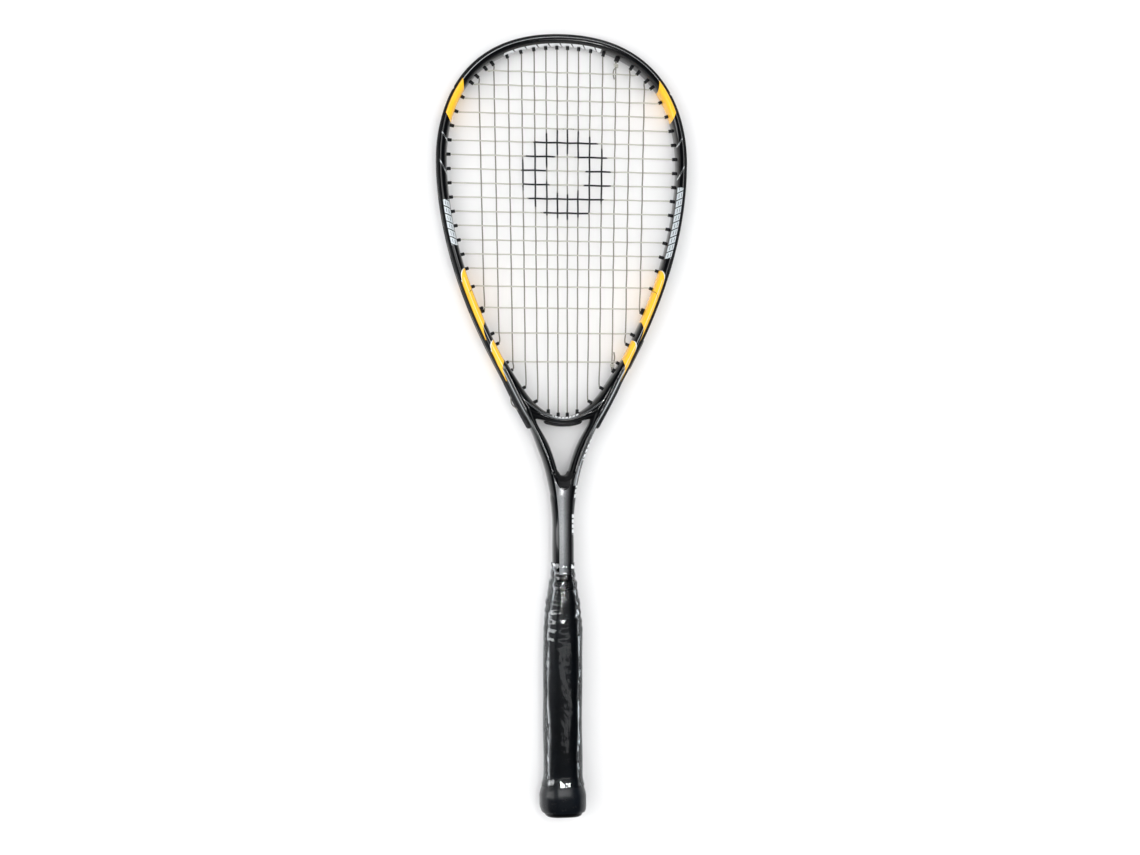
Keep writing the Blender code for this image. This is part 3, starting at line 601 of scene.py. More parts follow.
# Silver: how far the stripes' inner and outer edges lie outside the tube's centre line, the
# shift of the face to the right, and the black V that the face ends under.
STRIPE_INNER = 0.38
STRIPE_OUTER = 1.62
FACE_SHIFT = 1.3
FACE_TOP_Y = 306.0
V_BOTTOM_Y = 284.9
V_OPENING = 7.4
STRIPE_LOW_Y = 289.0
STRIPE_HIGH_Y = 391.0
SIDE_ARCS = ((596.7, 1.2), (572.8, 2.06))

# Amber: the heights of each patch's ends, then for the flanks how far the top is rounded, and
# how far the bottom slopes and trails towards the inner edge.
SHOULDER_PATCH = (645.9, 618.5)
FLANK_PATCHES = ((477.5, 431.1, 9.0, 6.5, 9.0), (414.9, 397.5, 7.0, 7.0, 11.0))
PATCH_ARC_Y = 458.5

# Heights of the plain marks that stand where the real racket is printed.
LEFT_BLOCKS = (498.0, 537.5)
RIGHT_BLOCKS = (489.0, 552.0)
SIDE_MARKS = ((246.0, 264.0), (277.0, 289.0), (311.0, 335.0))


def silver_edge(points):
    """How far a point lies inside the outer edges of the silver face and stripes."""
    shift = blend(300.0, 330.0, FACE_SHIFT, 0.0, points[:, 1])
    return LINE.x_at(points[:, 1]) + STRIPE_OUTER - np.abs(points[:, 0] - shift)


def silver_rim(points):
    """How far a point lies outside the inner edges of the stripes."""
    return np.abs(points[:, 0]) - LINE.x_at(points[:, 1]) - STRIPE_INNER


PAINT_FIELDS = {"silver_edge": silver_edge, "silver_rim": silver_rim}


def lacquer(name):
    """Clear lacquer over paint: black first, with the other colours laid over it."""
    look = Look(name, BLACK, GLOSS, specular_ior_level=0.32, coat_weight=COAT,
                coat_roughness=0.045)
    look.bump(look.noise(240.0, 2.0), 0.012)
    return look


def shaft_face(look, x, y):
    """The grey face of the shaft, below the black V."""
    under_v = (x * x - (y - V_BOTTOM_Y) * V_OPENING) / 9.0
    face = look.attribute("silver_edge").least(under_v)
    return face.least(-y + FACE_TOP_Y).mask(SOFT_EDGE)


def arm_stripes_and_highlights(look, y):
    """The silver stripes that carry the face's edges on up both arms, tapered at their ends; up
    the arms they are also a painted highlight along each arm's ridge.
    """
    stripe = look.attribute("silver_edge").least(look.attribute("silver_rim"))
    ends = ((-y + STRIPE_HIGH_Y) * 0.2).least((y - STRIPE_LOW_Y) * 0.2)
    return stripe.least(ends).mask(SOFT_EDGE)


def silver_paint(look, face, lines):
    """Metallic grey on the face, flaked and with painted shade that darkens it to the right, and
    silver on the lines.
    """
    look.paint(FACE_GREY, face)
    flakes = look.noise(1900.0, 1.0)
    look.paint(FACE_SHADE, face * flakes.ranged(0.42, 0.75, 0.0, 0.85))
    # Painted shade: the face darkens towards its right side, as if lit from the left.
    across = look.place()[0]
    look.paint(FACE_PAINTED_SHADE, face * across.ranged(-1.0, 6.0, 0.0, 1.0) ** 0.5)
    look.paint(SILVER, lines)
    look.feed("Metallic", face.most(lines) * METAL)
    look.feed("Roughness", face.ranged(0.0, 1.0, GLOSS, FACE_ROUGHNESS))


def side_marks(look, y, reach):
    """Plain bars down the right flank."""
    bars = -(y + 4.0).from_middle(4.4) + 1.584
    for low, high in SIDE_MARKS:
        zone = (y - low).least(-y + high).least(reach)
        look.paint(WHITE, bars.least(zone).mask(0.2))


def side_arcs(u, down):
    """Thin arcs across each side of the head."""
    arcs = []
    for outer_y, slope in SIDE_ARCS:
        line = down - (u + 3.0) * slope - from_crown(outer_y)
        arcs.append(-abs(line / (1.0 + slope)) + 0.30)
    return either(arcs)


def amber_patches(x, u, down, across, rounded):
    """A patch on each shoulder and two on each flank, and the flank patches' white rims."""
    inner_side = u + 3.6
    left = -x.mask(1.0) + 1.0
    start, end = SHOULDER_PATCH
    top = down - from_crown(start) - (u + 2.4) * 1.25 - left * 4.5
    bottom = -down + from_crown(end) + (u + 2.4) * 1.15 + left * 6.5
    patches = [top.least(bottom).least(inner_side)]
    rims = []
    for start, end, round_by, slope, tail in FLANK_PATCHES:
        top = down - from_crown(start) - rounded * round_by
        bottom = -down + from_crown(end) + across * slope + (across ** 7.0) * tail
        patch = top.least(bottom).least(inner_side)
        patches.append(patch)
        rims.append(patch.least(-top + across * 2.0))
    return either(patches), either(rims)


def front_blocks(x, y, u):
    """Plain notched blocks on the front of the head's sides."""
    blocks = []
    for ends, side in ((LEFT_BLOCKS, -x), (RIGHT_BLOCKS, x)):
        low, high = ends
        run = (y + u * 0.5 - low).from_middle(6.6)
        notch = (abs(abs(u - 0.3) - 1.0) - 0.22).most(run - 1.6)
        zone = (y - low).least(-y + high).least(side)
        blocks.append((-run + 2.772).least(notch).least(zone))
    return either(blocks).least(-abs(u - 0.3) + 2.6)


def crown_bars(x, y, z, u):
    """Plain notched bars on the inner side of the crown."""
    run = (x + z * 0.35 + 52.0).from_middle(10.3)
    notch = (abs(z + 1.5) - 0.5).most(run - 2.4)
    zone = (x + 52.0).least(-x + 34.0).least(y - 640.0).least(u - 2.2)
    return (-run + 4.532).least(notch).least(zone).least(-abs(z) + 6.6)


def tube_lacquer():
    look = lacquer("frame_lacquer")
    x, y, z = look.place()
    u = look.attribute("inward")
    down = look.attribute("from_crown")
    front = look.attribute("front")
    across = ((-u + HEAD_HALF_WIDTH) / 5.8).most(0.0).least(1.0)
    rounded = -((-(across * across) + 1.0).most(0.0) ** 0.5) + 1.0

    arcs = side_arcs(u, down).least(-y + 640.0).least(front).mask(EDGE)
    # A painted highlight: a thin silver line near the outer edge of the crown's front.
    crown_highlight = (-abs(u + 1.9) + 0.22).least(y - 643.0).least(front).mask(SOFT_EDGE)
    # The arm stripes are silver paint and, up the arms, a painted ridge highlight.
    silver_paint(look, shaft_face(look, x, y), arm_stripes_and_highlights(look, y).most(arcs).most(crown_highlight))

    amber, rims = amber_patches(x, u, down, across, rounded)
    patches = amber.mask(SOFT_EDGE)
    look.paint(AMBER, patches)
    # Painted shade: the amber darkens towards the tube's inner and outer sides, which turn away
    # from the light.
    shade = (abs(u / HEAD_HALF_WIDTH) ** 3.0).least(1.0)
    look.paint(AMBER_PAINTED_SHADE, patches * shade * 0.35)
    look.paint(WHITE, rims.mask(EDGE))
    arc = -abs(down - from_crown(PATCH_ARC_Y) - rounded * 9.0) + 0.30
    look.paint(ARC_BROWN, arc.least(amber).least(-across + 0.97).mask(0.1))
    # A painted highlight: a thin pale line down the middle of each flank's front.
    flank_highlight = (-abs(u + 0.1) + 0.22).least(y - 391.0).least(-y + 470.0).least(front)
    look.paint(WHITE, flank_highlight.mask(SOFT_EDGE) * 0.55)

    look.paint(BLOCK_GREY, front_blocks(x, y, u).least(front).mask(EDGE))
    look.paint(WHITE, crown_bars(x, y, z, u).mask(EDGE))
    outer_side = (-u - 2.9).least(-y + 338.0).least(z + 4.0)
    side_marks(look, y, outer_side.least(x))
    return look


def bridge_lacquer():
    look = lacquer("bridge_lacquer")
    x, _, z = look.place()
    below = look.attribute("below_arch")
    smile = x * x * 0.0027 + 2.3
    half = (-(abs(x) - 36.0) * 0.08).least(0.42)
    line = (-abs(below - smile) + half).least(abs(z) - 5.5).mask(EDGE)
    look.paint(SILVER, line)
    look.feed("Metallic", line * METAL)
    dashes = -(x + below * 0.6 + 20.0).from_middle(3.1) + 1.116
    zone = (x + 10.0).least(-x + 13.0).least(z - 5.0)
    look.paint(WHITE, dashes.least(zone).least(-abs(below - 1.1) + 0.6).mask(EDGE))
    return look


def shaft_lacquer():
    """The shaft's lacquer, which turns dull and uncoated in the black V."""
    look = lacquer("shaft_lacquer")
    x, y, z = look.place()
    face = shaft_face(look, x, y)
    # The arm stripes are silver paint and, up the arms, a painted ridge highlight.
    silver_paint(look, face, arm_stripes_and_highlights(look, y))
    side_marks(look, y, (x - 7.0).least(z + 4.0))
    crotch = (y - 287.0).mask(3.0)
    gloss = face.ranged(0.0, 1.0, GLOSS, FACE_ROUGHNESS)
    look.feed("Roughness", gloss.most(crotch * CROTCH_ROUGHNESS))
    look.feed("Coat Weight", crotch.ranged(0.0, 1.0, COAT, 0.0))
    return look


# --- the frame ----------------------------------------------------------------------------

TUBE_SIDES = 56
TUBE_STEP = 1.6
TUBE_SHOWS_Y = 212.0


def tube_stations():
    """Lengths of the tube's sections: close together, except inside the handle."""
    hidden = LINE.at_y(TUBE_SHOWS_Y)
    legs = np.linspace(0.0, hidden, 12)[:-1]
    count = int((LINE.crown - hidden) / TUBE_STEP)
    half = np.concatenate([legs, np.linspace(hidden, LINE.crown, count)])
    return np.concatenate([half, (LINE.length - half)[::-1][1:]])


def make_tube(look):
    """The frame tube, with what its paint needs: how far inwards, how far on to the front or
    back face, and how far from the crown each point lies."""
    stations = tube_stations()
    rings = []
    inward = []
    front = []
    for s in stations:
        centre = LINE.place(s, 0.0)
        y = centre[1]
        a = half_width(y)
        b = half_depth(y)
        u, z = oval(a, b, TUBE_SIDES)
        fuller = float(blend(300.0, 360.0, 0.0, INNER_FULLNESS, y))
        u = np.where(u > 0.0, u * (1.0 + fuller / a), u)
        direction = LINE.place(s, 1.0) - centre
        rings.append(standing_ring(centre, direction, u, z))
        inward.append(u)
        front.append(np.abs(z) / b * 10.0 - 5.5)
    skin = Skin()
    skin.loft(rings, girth(rings[len(rings) // 2]), stations)
    to_crown = np.repeat(np.abs(stations - LINE.crown), TUBE_SIDES)
    values = {"inward": inward, "front": front, "from_crown": to_crown}
    return skin.piece("frame_tube_fine", look, PAINT_FIELDS, values)


def arch_point(x):
    return np.array([x, ARCH_Y + ARCH_CURVE * x * x, 0.0])


def arch_down(x):
    slope = 2 * ARCH_CURVE * x
    return unit(np.array([slope, -1.0, 0.0]))


def bridge_thickness(x):
    """Thickness square to the arch, ending on the tube's centre line near the flanks."""
    start = arch_point(abs(x))
    down = arch_down(abs(x))

    def inside(depth):
        point = start + down * depth
        return point[0] < LINE.x_at(point[1])

    return min(BRIDGE_THICK + BRIDGE_THICK_CURVE * x * x, turning_point(inside, 0.0, 30.0))


def below_bridge(x, height):
    return arch_point(x) + arch_down(x) * (bridge_thickness(x) + height)


def make_bridge(look):
    """The bridge, whose ends thin away inside the frame tube."""
    rings = []
    depths = []
    sides = 40
    xs = np.linspace(-BRIDGE_END_X, BRIDGE_END_X, 131)
    for x in xs:
        sunk = float(blend(36.0, BRIDGE_END_X, 0.0, 3.2, abs(x)))
        half = max(bridge_thickness(x) - sunk, 0.6) / 2
        u, z = oval(half, BRIDGE_HALF_DEPTH, sides)
        depth = sunk + half + u
        rings.append(standing_ring(arch_point(x), arch_down(x), depth, z))
        depths.append(depth)
    skin = Skin()
    skin.loft(rings, girth(rings[65]), xs)
    return skin.piece("throat_bridge_fine", look, values={"below_arch": depths})


def make_wedge(look):
    """The filler between the arms: a rounded saddle over a plain web."""
    skin = Skin()
    band = 3.6
    radius = CROTCH_RADIUS + band
    sides = 40
    angles = np.radians(np.linspace(-160.0, -20.0, 51))
    centre = np.array([0.0, CROTCH_Y, 0.0])
    u, z = oval(band, HEAD_HALF_DEPTH, sides)
    rings = []
    for angle in angles:
        out = np.array([math.cos(angle), math.sin(angle), 0.0])
        rings.append(standing_ring(centre, out, radius - u, z))
    skin.loft(rings, girth(rings[25]), angles * radius)
    ys = np.linspace(*WEB_Y, 29)
    rings = []
    for y in ys:
        a = float(LINE.x_at(y)) + 0.5
        b = float(half_depth(y)) - 0.55
        rings.append(level_ring(soft_square(a, b, WEB_ROUND, sides, WEB_ROUND), y))
    skin.loft(rings, girth(rings[15]), ys)
    return skin.piece("throat_wedge_fine", look, PAINT_FIELDS)


def wrap_size(y):
    """Outside of the shaft's wrap: constant below, then sinking in between the two arms."""
    reach = float(LINE.x_at(y)) + float(half_width(y))
    wide = SHAFT_WRAP[0] - LEG_X - LEG_HALF_WIDTH
    deep = SHAFT_WRAP[1] - LEG_HALF_DEPTH
    sides = blend(SIDES_SINK[0], WRAP_TOP_Y, 0.0, SIDES_SINK[1], y)
    faces = blend(FACES_SINK[0], WRAP_TOP_Y, 0.0, FACES_SINK[1], y)
    a = reach + blend(*WRAP_THINS, wide, WRAP_LEFT[0], y) - sides
    b = half_depth(y) + blend(*WRAP_THINS, deep, WRAP_LEFT[1], y) - faces
    return float(a), float(b)


def make_wrap(look):
    sides = 72
    ys = np.concatenate([np.linspace(20.0, 200.0, 8), np.linspace(204.0, WRAP_TOP_Y, 70)])
    rings = []
    for y in ys:
        rings.append(level_ring(soft_square(*wrap_size(y), SHAFT_ROUND, sides, SHAFT_CROWN), y))
    skin = Skin()
    skin.loft(rings, girth(rings[20]), ys)
    return skin.piece("shaft_wrap_fine", look, PAINT_FIELDS)


def fuse(pieces, radius, low_y, high_y, ease=8.0):
    """Swell each piece towards the others near where they meet, so that the seams fillet."""
    trees = []
    for piece in pieces:
        bm = bmesh.new()
        bm.from_mesh(piece.data)
        trees.append(BVHTree.FromBMesh(bm))
        bm.free()
    moved = []
    for piece in pieces:
        mesh = piece.data
        new = []
        for vertex in mesh.vertices:
            y = vertex.co.y / MM
            lift = 0.0
            if low_y < y < high_y:
                for other, tree in zip(pieces, trees):
                    if other is piece:
                        continue
                    near, normal, _, distance = tree.find_nearest(vertex.co, radius * MM)
                    if near is None:
                        continue
                    if (vertex.co - near).dot(normal) < 0.0:
                        distance = 0.0
                    lift = max(lift, (radius - distance / MM) ** 2 / (4.0 * radius))
            lift *= float(blend(low_y, low_y + ease, 0.0, 1.0, y))
            lift *= float(blend(high_y - ease, high_y, 1.0, 0.0, y))
            new.append(vertex.co + vertex.normal * (lift * MM))
        moved.append(new)
    for piece, new in zip(pieces, moved):
        piece.data.vertices.foreach_set("co", np.array(new, np.float32).ravel())
        piece.data.update()


# --- barrels and grommet strips -----------------------------------------------------------

def main_x(k, rates):
    n = k - 0.5
    return rates[0] * n + rates[1] * n * n


def cross_y(j):
    y = FIRST_CROSS_Y - CROSS_PITCH * (min(j, EVEN_CROSSES) - 1)
    pitch = CROSS_PITCH
    for _ in range(j - EVEN_CROSSES):
        pitch += CROSS_PITCH_GROWTH
        y -= pitch
    return y


def lifted(point, z):
    return np.array([point[0], point[1], z])


class Barrel:
    """One grommet barrel through the frame tube."""

    def __init__(self, s, reach, strip, wide=False):
        self.s = s
        self.strip = strip
        self.wide = wide
        self.mouth = LINE.place(s, reach)

    def at(self, height, z=0.0):
        return LINE.place(self.s, -height, z)


class BridgeBarrel:
    """A barrel straight down through the bridge."""

    def __init__(self, x):
        self.x = x
        self.strip = "throat"
        self.wide = False
        self.mouth = arch_point(x) + np.array([0.0, BARREL_PROUD, 0.0])

    def at(self, height, z=0.0):
        foot = turning_point(lambda x: below_bridge(x, height)[0] < self.x,
                             -ARCH_END_X, ARCH_END_X)
        return lifted(below_bridge(foot, height), z)


def barrel_at_x(x, low, high, strip, wide=False):
    s = LINE.find(lambda t: LINE.place(t, REACH)[0] - x, low, high)
    return Barrel(s, REACH, strip, wide)


def junction_barrel(x, strip):
    """A long barrel from the arch through the end of the bridge and the frame tube."""
    foot = x
    for _ in range(20):
        foot = x + arch_down(foot)[0] * BARREL_PROUD
    mouth = arch_point(foot) - arch_down(foot) * BARREL_PROUD
    low, high = (60.0, LINE.crown) if x < 0 else (LINE.crown, LINE.length - 60.0)

    def ahead(s):
        here = LINE.place(s, 0.0)
        return float((mouth - here) @ (LINE.place(s + 0.2, 0.0) - here))

    s = LINE.find(ahead, low, high)
    return Barrel(s, float(np.linalg.norm(mouth - LINE.place(s, 0.0))), strip)


def make_barrels():
    """Every barrel, by the name of the string run that ends in it."""
    barrels = {}
    flank = LINE.at_y(FLANK[1])
    side = LINE.at_y(SIDE[1])
    spare = 30.0
    for k in range(1, MAINS_PER_SIDE + 1):
        for sign in (-1, 1):
            number = MAINS_PER_SIDE + (1 - k if sign < 0 else k)
            top = sign * main_x(k, MAIN_PITCH_TOP)
            bottom = sign * main_x(k, MAIN_PITCH_BOTTOM)
            tie = number == TIE_OFF_MAIN
            strip = "left" if sign < 0 else "right"
            barrels["top", number] = barrel_at_x(top, side, LINE.length - side, "bumper", tie)
            if k <= 2:
                barrels["bottom", number] = BridgeBarrel(bottom)
            elif k <= 4:
                barrels["bottom", number] = junction_barrel(bottom, strip)
            elif sign < 0:
                barrels["bottom", number] = barrel_at_x(bottom, flank - spare, side, strip)
            else:
                low = LINE.length - side
                high = LINE.length - flank + spare
                barrels["bottom", number] = barrel_at_x(bottom, low, high, strip, tie)
    for j in range(1, CROSSES + 1):
        for sign, name in ((-1, "left"), (1, "right")):
            strip = "bumper" if j <= 2 else name
            s = LINE.at_y(cross_y(j), REACH, sign)
            barrels[name, j] = Barrel(s, REACH, strip)
    return barrels


BARRELS = make_barrels()


def add_barrel(skin, barrel, low):
    """A turned barrel with a rounded lip and an open bore."""
    start = barrel.at(low)
    mouth = barrel.mouth
    axis = unit(mouth - start)
    extra = TIE_OFF_EXTRA if barrel.wide else 0.0
    outer = BARREL_RADIUS + extra
    bore = BORE_RADIUS + extra
    length = float(np.linalg.norm(mouth - start))
    profile = [(outer + 0.12, 0.0), (outer + 0.12, max(length - 3.4, 0.5)),
               (outer, length - 2.6), (outer - 0.06, length - 0.4),
               (outer - 0.2, length - 0.1), (outer - 0.38, length),
               (bore + 0.08, length - 0.06), (bore, length - 0.3), (bore, length - 2.4)]
    across = unit(np.cross(axis, UP))
    sides = 16
    round_it = circle(across, np.cross(axis, across), sides)
    rings = [start + axis * height + round_it * radius for radius, height in profile]
    around = np.arange(sides + 1) * math.tau * outer / sides
    skin.loft(rings, around, [height for _, height in profile])


def strip_outline():
    """Section of a strip as (height, z), rounded at its flanges and rims."""
    upper = [(STRIP_SEAT, 4.3), (STRIP_SEAT, 5.4), (2.9, 5.95), (3.25, 6.2), (4.2, 6.22)]
    upper += [(4.7, 6.05), (5.1, 5.6), (STRIP_RIM, 5.0), (STRIP_RIM, 4.5), (5.15, 4.05)]
    upper += [(4.6, 3.75), (4.0, 3.5), (3.8, 3.2), (STRIP_FLOOR, 2.6), (STRIP_FLOOR, 1.2)]
    return upper + [(h, -z) for h, z in reversed(upper)]


def names_of(strip):
    return [name for name, barrel in BARRELS.items() if barrel.strip == strip]


def make_frame_strip(name, strip, start, end, look):
    outline = np.array(strip_outline())
    stations = np.linspace(start, end, max(int((end - start) / TUBE_STEP), 8))
    rings = []
    for s in stations:
        from_end = min(s - start, end - s)
        full = min(0.75 + from_end / 2.6, 1.0)
        height = STRIP_SEAT + (outline[:, 0] - STRIP_SEAT) * full
        centre = LINE.place(s, 0.0)
        outward = centre - LINE.place(s, 1.0)
        rings.append(standing_ring(centre, outward, height, outline[:, 1]))
    skin = Skin()
    skin.loft(rings, girth(rings[4]), stations)
    for barrel in names_of(strip):
        add_barrel(skin, BARRELS[barrel], STRIP_SEAT + 0.3)
    return skin.piece(name, look)


def make_throat_strip(look):
    upper = [(-0.2, 3.6), (1.2, 3.65), (1.6, 3.45), (1.8, 3.0), (1.8, 2.5), (1.55, 2.15)]
    upper += [(1.0, 2.0), (0.85, 1.6), (0.85, 0.6)]
    outline = np.array(upper + [(v, -z) for v, z in reversed(upper)])
    xs = np.linspace(-THROAT_STRIP_HALF_X - 0.6, THROAT_STRIP_HALF_X + 0.6, 41)
    rings = []
    for x in xs:
        scale = min(0.3 + (THROAT_STRIP_HALF_X + 0.6 - abs(x)) / 2.2, 1.0)
        rings.append([below_bridge(x, v * scale) + UP * z for v, z in outline])
    skin = Skin()
    skin.loft(rings, girth(np.array(rings[4])), xs)
    for barrel in names_of("throat"):
        add_barrel(skin, BARRELS[barrel], 0.2)
    return skin.piece("throat_strip_fine", look)


# --- the string ---------------------------------------------------------------------------

LOOP_HEIGHT = STRIP_FLOOR + STRING_RADIUS + 0.1
OVER_HEIGHT = LOOP_HEIGHT + LANE
THROAT_LOOP_HEIGHT = 0.85 + STRING_RADIUS + 0.1
CORNER = 0.9
STENCIL_CENTRE = (3.0, 563.0)
STENCIL_RADIUS = 29.0
STENCIL_HALF = 11.0
STENCIL_BUILD = 0.17
BEND = 2.4
BULGE = 2.6


def outside_run(start, end, lane=0.0, over=False, end_z=0.0, start_z=0.0, bulge=0.0):
    """The string from one barrel's bore, round the outside of its strip, into another's."""
    first = BARRELS[start]
    second = BARRELS[end]
    if first.strip == "throat":
        height = THROAT_LOOP_HEIGHT
        leave = first.at(height)
        arrive = second.at(height)
        return [first.at(height - CORNER), leave + (arrive - leave) * 0.1,
                arrive + (leave - arrive) * 0.1, second.at(height - CORNER)]
    height = OVER_HEIGHT if over else LOOP_HEIGHT
    way = 1.0 if second.s > first.s else -1.0
    span = abs(second.s - first.s)
    count = max(int(span / 9.0), 2)
    points = [first.at(height - CORNER, start_z)]
    for k in range(count + 1):
        f = k / count
        s = first.s + way * (CORNER + (span - 2 * CORNER) * f)
        from_end = min(f, 1.0 - f) * span
        side = lane * min(from_end / 3.0, 1.0)
        z = side + (start_z if f == 0.0 else 0.0) + (end_z if f == 1.0 else 0.0)
        points.append(LINE.place(s, -height - bulge * math.sin(math.pi * f), z))
    points.append(second.at(height - CORNER, end_z))
    return points


def crossing_height(main, cross):
    return WEAVE if (main + cross) % 2 == 0 else -WEAVE


def crossings():
    """Every (main, cross) pair that meets, with the point where they meet."""
    met = {}
    for number in range(1, 2 * MAINS_PER_SIDE + 1):
        low = BARRELS["bottom", number].mouth
        high = BARRELS["top", number].mouth
        for j in range(1, CROSSES + 1):
            y = cross_y(j)
            if not low[1] + 1.5 < y < high[1] - 1.5:
                continue
            x = low[0] + (high[0] - low[0]) * (y - low[1]) / (high[1] - low[1])
            if abs(x) < BARRELS["right", j].mouth[0] - 1.5:
                met[number, j] = np.array([x, y, 0.0])
    return met


def knot_turns(axis_start, direction):
    """Two turns round a string and a tail of a finger's width."""
    points = []
    turns = 2
    per_turn = 10
    across = np.cross(direction, UP)
    for k in range(turns * per_turn + 1):
        angle = -math.pi / 2 + math.tau * k / per_turn
        along = direction * (KNOT_PITCH * k / per_turn)
        around = across * math.cos(angle) + UP * math.sin(angle)
        points.append(axis_start + along + around * KNOT_RADIUS)
    end = points[-1]
    points.append(end + across * 1.6 + direction * 2.0 - UP * 0.3)
    points.append(end + across * 2.2 + direction * 6.0 + UP * 0.4)
    points.append(end + across * 1.4 + direction * 10.5 + UP * 1.0)
    return points


def string_route():
    """The whole string: lower knot, up and down the mains, then across to the upper knot."""
    met = crossings()
    low_tie = BARRELS["bottom", TIE_OFF_MAIN]
    high_tie = BARRELS["top", TIE_OFF_MAIN]
    low_axis = unit(high_tie.mouth - low_tie.mouth)
    knot_start = 2.2
    low_knot = knot_turns(lifted(low_tie.mouth, WEAVE) + low_axis * knot_start, low_axis)
    points = low_knot[::-1]
    points.append(lifted(low_tie.mouth, -WEAVE))
    last = 2 * MAINS_PER_SIDE
    tail = outside_run(("bottom", last), ("bottom", TIE_OFF_MAIN), -LANE, end_z=-WEAVE)
    points += reversed(tail)

    end = "bottom"
    for number in range(last, 0, -1):
        far = "top" if end == "bottom" else "bottom"
        own_z = WEAVE if number == TIE_OFF_MAIN else 0.0
        points.append(lifted(BARRELS[end, number].mouth, own_z))
        columns = [j for j in range(1, CROSSES + 1) if (number, j) in met]
        if end == "bottom":
            columns.reverse()
        for j in columns:
            points.append(lifted(met[number, j], crossing_height(number, j)))
        points.append(lifted(BARRELS[far, number].mouth, own_z))
        end = far
        if number == 1:
            break
        laned = number in ((14, 2) if end == "top" else (13, 3))
        next_z = WEAVE if number - 1 == TIE_OFF_MAIN else 0.0
        bulge = BULGE if (end, number) == ("bottom", 5) else 0.0
        points += outside_run((end, number), (end, number - 1), LANE if laned else 0.0,
                              start_z=own_z, end_z=next_z, bulge=bulge)

    points += outside_run(("bottom", 1), ("left", CROSSES), -LANE)
    side = "left"
    for j in range(CROSSES, 0, -1):
        far = "right" if side == "left" else "left"
        points.append(BARRELS[side, j].mouth)
        row = [n for n in range(1, last + 1) if (n, j) in met]
        if side == "right":
            row.reverse()
        for n in row:
            points.append(lifted(met[n, j], -crossing_height(n, j)))
        points.append(BARRELS[far, j].mouth)
        side = far
        if j == 1:
            break
        lane = {18: LANE, 2: -LANE}.get(j, 0.0) if side == "left" else 0.0
        over = side == "right" and j == CROSSES
        points += outside_run((side, j), (side, j - 1), lane, over)

    points += outside_run(("right", 1), ("top", TIE_OFF_MAIN), -LANE, end_z=-WEAVE)
    points.append(lifted(high_tie.mouth, -WEAVE))
    points += knot_turns(lifted(high_tie.mouth, WEAVE) - low_axis * knot_start, -low_axis)
    return np.array(points)


def smooth_path(points, steps):
    """A curve through every point, eased at each by the chord between its neighbours."""
    before = np.vstack([points[:1], points[:-1]])
    after = np.vstack([points[1:], points[-1:]])
    chord = unit(after - before)
    path = []
    for k in range(len(points) - 1):
        start = points[k]
        end = points[k + 1]
        pull = min(float(np.linalg.norm(end - start)) / 3.0, BEND)
        path.append(bezier(start, start + chord[k] * pull, end - chord[k + 1] * pull, end, steps))
    return np.vstack(path + [points[-1:]])


def sweep(path, radii, sides):
    """Round sections along a path, turned as little as they can be, and its tangents."""
    tangent = unit(np.gradient(path, axis=0))
    side = unit(np.cross(tangent[0], UP))
    rings = []
    for centre, along, radius in zip(path, tangent, radii):
        side = unit(side - along * (side @ along))
        rings.append(centre + circle(side, np.cross(along, side), sides) * radius)
    return np.array(rings), tangent


def make_string(look):
    path = smooth_path(string_route(), 7)
    sides = 10
    away = np.hypot(path[:, 0] - STENCIL_CENTRE[0], path[:, 1] - STENCIL_CENTRE[1])
    painted = STENCIL_HALF - np.abs(away - STENCIL_RADIUS)
    radii = STRING_RADIUS + blend(-1.0, 1.0, 0.0, STENCIL_BUILD, painted)
    rings, tangent = sweep(path, radii, sides)
    around = np.arange(sides + 1) * math.tau * STRING_RADIUS / sides
    skin = Skin()
    skin.loft(rings, around, lengths_along(path))
    lengthways = np.repeat(np.abs(tangent[:, 1]), sides)
    return skin.piece("string_fine", look, values={"lengthways": lengthways}, sharp=80.0)


# --- handle -------------------------------------------------------------------------------

HANDLE_SIDES = 120

# The butt cap from the recess in its end to its rim: height, and share of its full size there.
CAP_PROFILE = ((0.45, 0.30), (0.45, 0.52), (0.0, 0.54), (0.0, 0.60), (0.0, 0.78), (0.05, 0.84),
               (0.25, 0.885), (0.8, 0.93), (1.8, 0.965), (3.0, 0.985), (4.5, 1.0), (9.0, 1.0),
               (CAP_FLARE_Y, 1.0), (21.0, 1.0), (27.0, 1.0), (CAP_TOP_Y, 1.0))


def mixed(first, second, f):
    return (first[0] + (second[0] - first[0]) * f, first[1] + (second[1] - first[1]) * f)


def cap_size(y):
    if y < CAP_FLARE_Y:
        return CAP_FLARE
    f = min((y - CAP_FLARE_Y) / (CAP_TOP_Y - CAP_FLARE_Y), 1.0)
    return mixed(CAP_FLARE, FOAM_GRIP, f * f * (3.0 - 2.0 * f))


def bed_size(y):
    """What the grip lies on: cap, foam, then the bare shaft."""
    if y <= CAP_TOP_Y:
        return cap_size(y)
    neck = float(blend(SHOULDER_Y - 6.0, FOAM_TOP_Y, 0.0, 1.0, y))
    size = mixed(FOAM_GRIP, FOAM_NECK, neck)
    return mixed(size, SHAFT_WRAP, float(blend(FOAM_TOP_Y - 2.0, FOAM_TOP_Y + 9.0, 0.0, 1.0, y)))


def grip_size(y, extra=0.0):
    a, b = bed_size(y)
    edge = 0.55 * max(0.0, 1.0 - (y - GRIP_START_Y) / 3.0) ** 2
    thick = GRIP_THICK - edge - float(blend(GRIP_TOP_Y - 6.0, GRIP_TOP_Y, 0.0, 0.7, y))
    return a + GRIP_GAP + thick + extra, b + GRIP_GAP + thick + extra


def outwards(offsets):
    """Unit directions square to a closed section of (x, z) offsets."""
    chord = np.roll(offsets, -1, axis=0) - np.roll(offsets, 1, axis=0)
    return unit(np.stack([chord[:, 1], -chord[:, 0]], axis=1))


